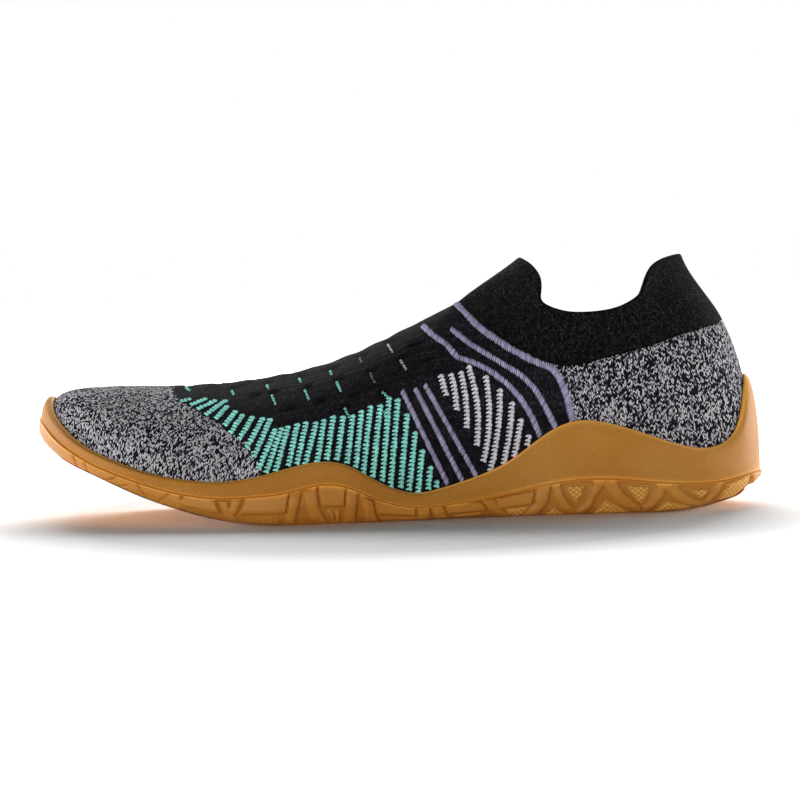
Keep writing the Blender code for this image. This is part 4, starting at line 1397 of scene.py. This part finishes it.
# Legs of a stitch: which way it turns, share of the lean, share of the thickness, shift
LEGS = ((-1.0, 0.66, 1.30, -0.14), (1.0, 1.30, 0.86, 0.20))
ROPE = ((1.0, 1.0, 1.0, 0.0),)

# Stitches keep clear of the cup's edge (metres), stand off the knit by a share of their
# height, and vary in place (millimetres) and in size (share)
CLEAR_OF_CUP = 0.0004
STAND_OFF = 0.30
PLACE_SPREAD = 0.05
SIZE_SPREAD = 0.06


def raise_stitches(name, lines, material, pitch, width, plump, lean, long, thick, seed,
                   legs=LEGS, zigzag=False):
    """Chains of raised stitches on both sides of the shoe, joined in one mesh."""
    form, form_faces = stitch_form()
    rng = np.random.default_rng(seed)
    centres, axes, cross, ups, sizes = [], [], [], [], []
    for side in (-1, 1):
        places = places_on(side)
        for corners in lines:
            way, share = run_line(places, side, corners, pitch)
            point, out = creased_knit(side, way, share)
            edge = spline(CUP_LINES, 1, way, True) * INSTEP_HEIGHT
            keep = point[:, 2] > edge + CLEAR_OF_CUP
            if keep.sum() < 2:
                continue
            point, out = point[keep], out[keep]
            along = unit(np.gradient(point, axis=0))
            beside = unit(np.cross(out, along)) * side
            for turn, more_lean, more_thick, move in legs:
                if zigzag:
                    turn = np.where(np.arange(len(point)) % 2 == 0, 1.0, -1.0)[:, None]
                angle = lean * more_lean
                aim = unit(along * math.cos(angle) + beside * turn * math.sin(angle))
                shift = width * move
                jitter = rng.normal(0.0, PLACE_SPREAD, (len(point), 3)) * MM
                centres.append(point + beside * shift * MM + out * plump * STAND_OFF * MM + jitter)
                axes.append(aim)
                ups.append(out)
                cross.append(np.cross(out, aim))
                grow = 1.0 + rng.normal(0.0, SIZE_SPREAD, len(point))
                wide = 0.5 * thick * more_thick
                sizes.append(np.stack([0.5 * long * grow, wide * grow, plump * grow], axis=1))
    centres, axes, cross, ups = (np.concatenate(v) for v in (centres, axes, cross, ups))
    sizes = np.concatenate(sizes) * MM
    points = (centres[:, None, :] + axes[:, None, :] * (form[None, :, 0] * sizes[:, :1])[..., None]
              + cross[:, None, :] * (form[None, :, 1] * sizes[:, 1:2])[..., None]
              + ups[:, None, :] * (form[None, :, 2] * sizes[:, 2:])[..., None])
    mesh = bpy.data.meshes.new(name)
    size = len(form)
    faces = [tuple(c + k * size for c in face) for k in range(len(centres)) for face in form_faces]
    mesh.from_pydata(points.reshape(-1, 3).tolist(), [], faces)
    mark_points(mesh, "shade", np.repeat(rng.random(len(centres)), size))
    piece = show(name, mesh, material)
    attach(piece, "root")
    return piece


def straight(rows):
    """Stripes from a top to a bottom."""
    return [((a, b), (c, d)) for a, b, c, d in rows]


def bowed(rows):
    """Stripes whose middle stands off the straight line towards the heel."""
    lines = []
    for a, b, c, d, bow in rows:
        line = []
        for k in range(7):
            share = k / 6.0
            off = bow * 4.0 * share * (1.0 - share)
            line.append((a + (c - a) * share - off, b + (d - b) * share))
        lines.append(tuple(line))
    return lines


def slot_lines(yarn):
    """Slots that show one yarn."""
    lines = []
    for place, up, half, lean, kind in SLOTS:
        if kind == yarn:
            lines.append(((place + lean * half, up + half), (place - lean * half, up - half)))
    return lines


# Stage

def soft_light(name, place, aim, size, power):
    """White area light aimed at a point."""
    lamp = bpy.data.lights.new(name, "AREA")
    lamp.shape = "RECTANGLE"
    lamp.size, lamp.size_y = size
    lamp.energy = power
    thing = bpy.data.objects.new(name, lamp)
    thing.location = place
    thing.rotation_euler = (Vector(aim) - Vector(place)).to_track_quat("-Z", "Y").to_euler()
    bpy.context.scene.collection.objects.link(thing)
    return thing


def build_stage(settings):
    """Pale floor that glows white away from the shoe, soft lights, camera."""
    rings = (0.0, 0.15, 0.3, 0.45, 0.6, 0.8, 1.1, 1.6, 2.5, 4.0, 7.0)
    around = np.radians(np.linspace(0.0, 360.0, 73))
    points = np.array([(r * math.cos(a), r * math.sin(a), 0.0) for r in rings for a in around])
    web = Web("pale floor")
    place = web.solid_place()
    white = tuple(settings.floor_colour)
    colour = web.ramp(web.noise(place, 3.0, 2.0), ((0.3, scaled(white, 0.985)), (0.7, white)))
    oval = web.node("ShaderNodeVectorMath", operation="MULTIPLY")
    web.feed(oval.inputs[0], place)
    oval.inputs[1].default_value = (1.0, 0.9, 1.0)
    far = web.node("ShaderNodeVectorMath", operation="LENGTH")
    web.feed(far.inputs[0], oval.outputs[0])
    # Painted light: the floor glows white outside an oval round the shoe, washing out the shadows
    # cast away from it.
    glow = web.over(web.minus(far.outputs["Value"], 0.125), 0.09)
    glow = web.math("SMOOTH_MIN", web.math("MAXIMUM", glow, 0.0), 1.0, 0.1)
    web.feed(web.shader.inputs["Emission Color"], (1.0, 1.0, 1.0, 1.0))
    web.feed(web.shader.inputs["Emission Strength"], glow)
    material = web.finish(colour, 0.9, None, specular_ior_level=0.1)
    faces = grid_faces(len(rings), len(around))
    floor = add_piece("pale_floor", points, faces, material, sharp=None)
    soft_light("overhead", (0.05, 1.06, 0.88), (0.0, 0.0, 0.03), (1.6, 0.62), settings.overhead)
    soft_light("front_fill", (-0.70, -1.5, 0.14), (0.0, 0.0, 0.04), (1.4, 0.22), settings.fill)
    soft_light("toe_side", (-0.9, 0.40, 0.16), (0.0, 0.0, 0.03), (0.7, 0.25), settings.side * 0.62)
    soft_light("heel_side", (0.9, 0.40, 0.16), (0.0, 0.0, 0.03), (0.7, 0.25), settings.side * 1.05)
    bpy.context.scene.world = soft_world(settings.world)
    bpy.context.scene.view_settings.view_transform = "Standard"
    return place_camera(settings)


def soft_world(strength):
    """Sky that is white at the horizon and below it, and falls off overhead."""
    world = bpy.data.worlds.new("soft white")
    world.use_nodes = True
    tree = world.node_tree
    sky = tree.nodes["Background"]
    place = tree.nodes.new("ShaderNodeTexCoord")
    apart = tree.nodes.new("ShaderNodeSeparateXYZ")
    fall = tree.nodes.new("ShaderNodeMapRange")
    fall.inputs["From Min"].default_value = 0.10
    fall.inputs["From Max"].default_value = 0.20
    fall.inputs["To Min"].default_value = 1.0
    fall.inputs["To Max"].default_value = strength
    tree.links.new(place.outputs["Generated"], apart.inputs[0])
    tree.links.new(apart.outputs[2], fall.inputs["Value"])
    tree.links.new(fall.outputs[0], sky.inputs[1])
    sky.inputs[0].default_value = (1.0, 1.0, 1.0, 1.0)
    return world


def place_camera(settings):
    """Camera in front of the outer side, tilted down and rolled a little."""
    camera_data = bpy.data.cameras.new("camera")
    camera_data.sensor_width = 36.0
    camera_data.lens = settings.lens
    camera_data.dof.use_dof = False
    camera = bpy.data.objects.new("camera", camera_data)
    ahead = Vector((0.0, math.cos(settings.tilt), -math.sin(settings.tilt)))
    over = Vector((0.0, math.sin(settings.tilt), math.cos(settings.tilt)))
    right = Vector((1.0, 0.0, 0.0))
    roll = settings.roll
    side = right * math.cos(roll) - over * math.sin(roll)
    up = over * math.cos(roll) + right * math.sin(roll)
    turn = Matrix((side, up, -ahead)).transposed()
    place = Matrix.Translation((settings.camera_x, -settings.distance, settings.eye))
    camera.matrix_world = place @ turn.to_4x4()
    bpy.context.scene.collection.objects.link(camera)
    bpy.context.scene.camera = camera
    return camera


# Settings that a user would change

class KnitSettings(bpy.types.PropertyGroup):
    """Stitches and yarns of the knit body"""
    wale: FloatProperty(name="Wale", description="Width of one column of stitches",
                        default=0.0014, subtype="DISTANCE", unit="LENGTH")
    course: FloatProperty(name="Course", description="Height of one row of stitches",
                          default=0.00068, subtype="DISTANCE", unit="LENGTH")
    stations: IntProperty(name="Stations", description="Curves on each side", default=260)
    rows: IntProperty(name="Rows", description="Points on each curve", default=64)
    marl_light: FloatVectorProperty(name="Marl light", description="Lightest yarn of the marl",
                                    subtype="COLOR", size=3, default=(0.99, 0.96, 1.0))
    marl_grey: FloatVectorProperty(name="Marl grey", description="Middle yarn of the marl",
                                   subtype="COLOR", size=3, default=(0.24, 0.22, 0.29))
    marl_dark: FloatVectorProperty(name="Marl dark", description="Darkest yarn of the marl",
                                   subtype="COLOR", size=3, default=(0.012, 0.012, 0.020))
    black_yarn: FloatVectorProperty(name="Black yarn", description="Yarn of the vamp and waist",
                                    subtype="COLOR", size=3, default=(0.0158, 0.0150, 0.0190))


class StripeSettings(bpy.types.PropertyGroup):
    """Yarns and size of the raised stripes"""
    teal: FloatVectorProperty(name="Teal", description="Stripes of the forefoot", subtype="COLOR",
                              size=3, default=(0.30, 0.79, 0.70))
    silver: FloatVectorProperty(name="Silver", description="Stripes of the waist", subtype="COLOR",
                                size=3, default=(0.68, 0.66, 0.72))
    lavender: FloatVectorProperty(name="Lavender", description="Lines from instep to cup",
                                  subtype="COLOR", size=3, default=(0.41, 0.375, 0.56))
    width: FloatProperty(name="Width", description="Width of a raised stripe", default=0.0023,
                         subtype="DISTANCE", unit="LENGTH")
    pitch: FloatProperty(name="Pitch", description="Length of one raised stitch", default=0.0015,
                         subtype="DISTANCE", unit="LENGTH")


class CollarSettings(bpy.types.PropertyGroup):
    """Ribs of the collar"""
    rib: FloatProperty(name="Rib", description="Pitch of the ribs", default=0.0009,
                       subtype="DISTANCE", unit="LENGTH")
    stations: IntProperty(name="Stations", description="Curves on each side", default=240)
    rib_yarn: FloatVectorProperty(name="Rib yarn", description="Black of the collar",
                                  subtype="COLOR", size=3, default=(0.0055, 0.0055, 0.0058))


class SoleSettings(bpy.types.PropertyGroup):
    """Rubber and relief of the cup sole"""
    gum: FloatVectorProperty(name="Gum", description="Middle colour of the rubber", subtype="COLOR",
                             size=3, default=(0.84, 0.36, 0.052))
    # Pale rubber of the clouding, also used as the painted highlight on the lip and the step's
    # edge, and to lighten the facets
    gum_pale_and_highlight: FloatVectorProperty(name="Gum light", description="Thin and worn rubber",
                                   subtype="COLOR", size=3, default=(0.90, 0.46, 0.095))
    gum_dark: FloatVectorProperty(name="Gum dark", description="Thick rubber", subtype="COLOR",
                                  size=3, default=(0.74, 0.295, 0.040))
    # Colour of the painted shade in the grooves, knurl, hatch cuts and hollows of the cup
    gum_recess_shade: FloatVectorProperty(name="Gum deep", description="Bottom of the grooves",
                                  subtype="COLOR", size=3, default=(0.24, 0.080, 0.007))
    knurl: FloatProperty(name="Knurl", description="Pitch of the knurled wall", default=0.0009,
                         subtype="DISTANCE", unit="LENGTH")
    relief: FloatProperty(name="Relief", description="Depth between the lugs", default=0.0013,
                          subtype="DISTANCE", unit="LENGTH")
    stations: IntProperty(name="Stations", description="Sections on each side", default=560)


class StageSettings(bpy.types.PropertyGroup):
    """Floor, lights and camera"""
    floor_colour: FloatVectorProperty(name="Floor", description="Colour of the floor",
                                      subtype="COLOR", size=3, default=(0.93, 0.93, 0.93))
    overhead: FloatProperty(name="Overhead", description="Soft light above", default=22.0,
                             unit="POWER")
    fill: FloatProperty(name="Fill", description="Soft light in front", default=12.0,
                         unit="POWER")
    side: FloatProperty(name="Side", description="Soft lights at toe and heel", default=8.0,
                         unit="POWER")
    world: FloatProperty(name="World", description="Strength of the sky overhead", default=0.05)
    distance: FloatProperty(name="Distance", description="Camera to shoe", default=1.0,
                            subtype="DISTANCE", unit="LENGTH")
    eye: FloatProperty(name="Eye", description="Height of the camera", default=0.095,
                       subtype="DISTANCE", unit="LENGTH")
    camera_x: FloatProperty(name="Camera X", description="Camera along the shoe", default=0.00105,
                            subtype="DISTANCE", unit="LENGTH")
    lens: FloatProperty(name="Lens", description="Focal length in millimetres", default=117.04)
    tilt: FloatProperty(name="Tilt", description="Camera down from level", subtype="ANGLE",
                        unit="ROTATION", default=math.radians(2.97))
    roll: FloatProperty(name="Roll", description="Camera about its own axis", subtype="ANGLE",
                        unit="ROTATION", default=math.radians(1.4))


# Operators

class SHOE_OT_knit(bpy.types.Operator):
    """Lay the knit body of the upper"""
    bl_idname = "shoe.knit"
    bl_label = "Knit Body"

    def execute(self, context):
        lay_knit(context.scene.shoe_knit)
        return {"FINISHED"}


class SHOE_OT_stripes(bpy.types.Operator):
    """Raise the stripes, lines and slot yarns on the knit"""
    bl_idname = "shoe.stripes"
    bl_label = "Raised Stripes"

    def execute(self, context):
        stripes = context.scene.shoe_stripes
        wide = stripes.width / MM
        pitch = stripes.pitch / MM
        teal = yarn_material("teal yarn", stripes.teal, 0.30)
        silver = yarn_material("silver yarn", stripes.silver, 0.22)
        lavender = yarn_material("lavender yarn", stripes.lavender, 0.45)
        # Painted shade: the yarn of the dim slots is the silver yarn darkened to about a third.
        dim = yarn_material("shaded yarn", scaled(stripes.silver, 0.35), 0.3)
        for row in (
            # name, lines, yarn, pitch, width, plump, lean, long, thick, seed, legs, to and fro
            ("teal_stripes", straight(TEAL), teal, pitch, wide * 0.94, 0.50, 0.86, 1.90, 1.12, 11),
            ("silver_stripes", bowed(SILVER), silver, pitch, wide, 0.50, 0.88, 2.00, 1.12, 12),
            ("lavender_edge", [HEEL_LINE], lavender, 0.80, 3.1, 0.50, 1.12, 3.6, 0.72, 18, ROPE),
            ("lavender_lines", [SECOND_LINE, THIRD_LINE], lavender,
             0.78, 2.5, 0.48, 1.10, 2.95, 0.68, 13, ROPE),
            ("lavender_slants", SLANTS, lavender, 0.78, 2.0, 0.48, 1.08, 2.5, 0.68, 14, ROPE),
            ("teal_slots", slot_lines("teal"), teal,
             0.64, 1.5, 0.30, 1.06, 1.50, 0.40, 15, ROPE, True),
            ("dim_slots", slot_lines("dim"), dim,
             0.64, 1.2, 0.24, 1.06, 1.35, 0.36, 16, ROPE, True),
            ("silver_slots", slot_lines("silver"), silver,
             0.64, 1.3, 0.26, 1.06, 1.40, 0.38, 17, ROPE, True),
        ):
            raise_stitches(*row)
        return {"FINISHED"}


class SHOE_OT_collar(bpy.types.Operator):
    """Lay the ribbed collar"""
    bl_idname = "shoe.collar"
    bl_label = "Ribbed Collar"

    def execute(self, context):
        lay_collar(context.scene.shoe_collar)
        return {"FINISHED"}


class SHOE_OT_cup(bpy.types.Operator):
    """Mould the gum cup sole"""
    bl_idname = "shoe.cup"
    bl_label = "Gum Cup Sole"

    def execute(self, context):
        mould_cup(context.scene.shoe_sole)
        return {"FINISHED"}


class SHOE_OT_footbed(bpy.types.Operator):
    """Lay the footbed in the shoe"""
    bl_idname = "shoe.footbed"
    bl_label = "Footbed"

    def execute(self, context):
        lay_footbed(context.scene.shoe_collar)
        return {"FINISHED"}


class SHOE_OT_stage(bpy.types.Operator):
    """Set the floor, the lights and the camera"""
    bl_idname = "shoe.stage"
    bl_label = "Stage"

    def execute(self, context):
        build_stage(context.scene.shoe_stage)
        return {"FINISHED"}


class SHOE_PT_panel(bpy.types.Panel):
    """Sizes, colours and steps of the shoe"""
    bl_idname = "SHOE_PT_panel"
    bl_label = "Knit Barefoot Shoe"
    bl_space_type = "VIEW_3D"
    bl_region_type = "UI"
    bl_category = "Shoe"

    def draw(self, context):
        for operator, group in STEPS:
            box = self.layout.box()
            box.operator(operator)
            if group:
                settings = getattr(context.scene, group)
                for key in settings.bl_rna.properties.keys():
                    if key not in {"rna_type", "name"}:
                        box.prop(settings, key)


STEPS = (
    ("shoe.knit", "shoe_knit"),
    ("shoe.stripes", "shoe_stripes"),
    ("shoe.collar", "shoe_collar"),
    ("shoe.cup", "shoe_sole"),
    ("shoe.footbed", None),
    ("shoe.stage", "shoe_stage"),
)
GROUPS = (
    ("shoe_knit", KnitSettings),
    ("shoe_stripes", StripeSettings),
    ("shoe_collar", CollarSettings),
    ("shoe_sole", SoleSettings),
    ("shoe_stage", StageSettings),
)
CLASSES = (SHOE_OT_knit, SHOE_OT_stripes, SHOE_OT_collar, SHOE_OT_cup, SHOE_OT_footbed,
           SHOE_OT_stage, SHOE_PT_panel)


def register():
    """Add the settings, the operators and the panel to Blender."""
    for name, group in GROUPS:
        bpy.utils.register_class(group)
        setattr(bpy.types.Scene, name, PointerProperty(type=group))
    for kind in CLASSES:
        bpy.utils.register_class(kind)


def unregister():
    """Take the panel, the operators and the settings away."""
    for kind in reversed(CLASSES):
        bpy.utils.unregister_class(kind)
    for name, group in reversed(GROUPS):
        delattr(bpy.types.Scene, name)
        bpy.utils.unregister_class(group)


def main():
    """Build the shoe step by step."""
    register()
    for operator, _ in STEPS:
        family, action = operator.split(".")
        getattr(getattr(bpy.ops, family), action)()


if __name__ == "__main__":
    main()
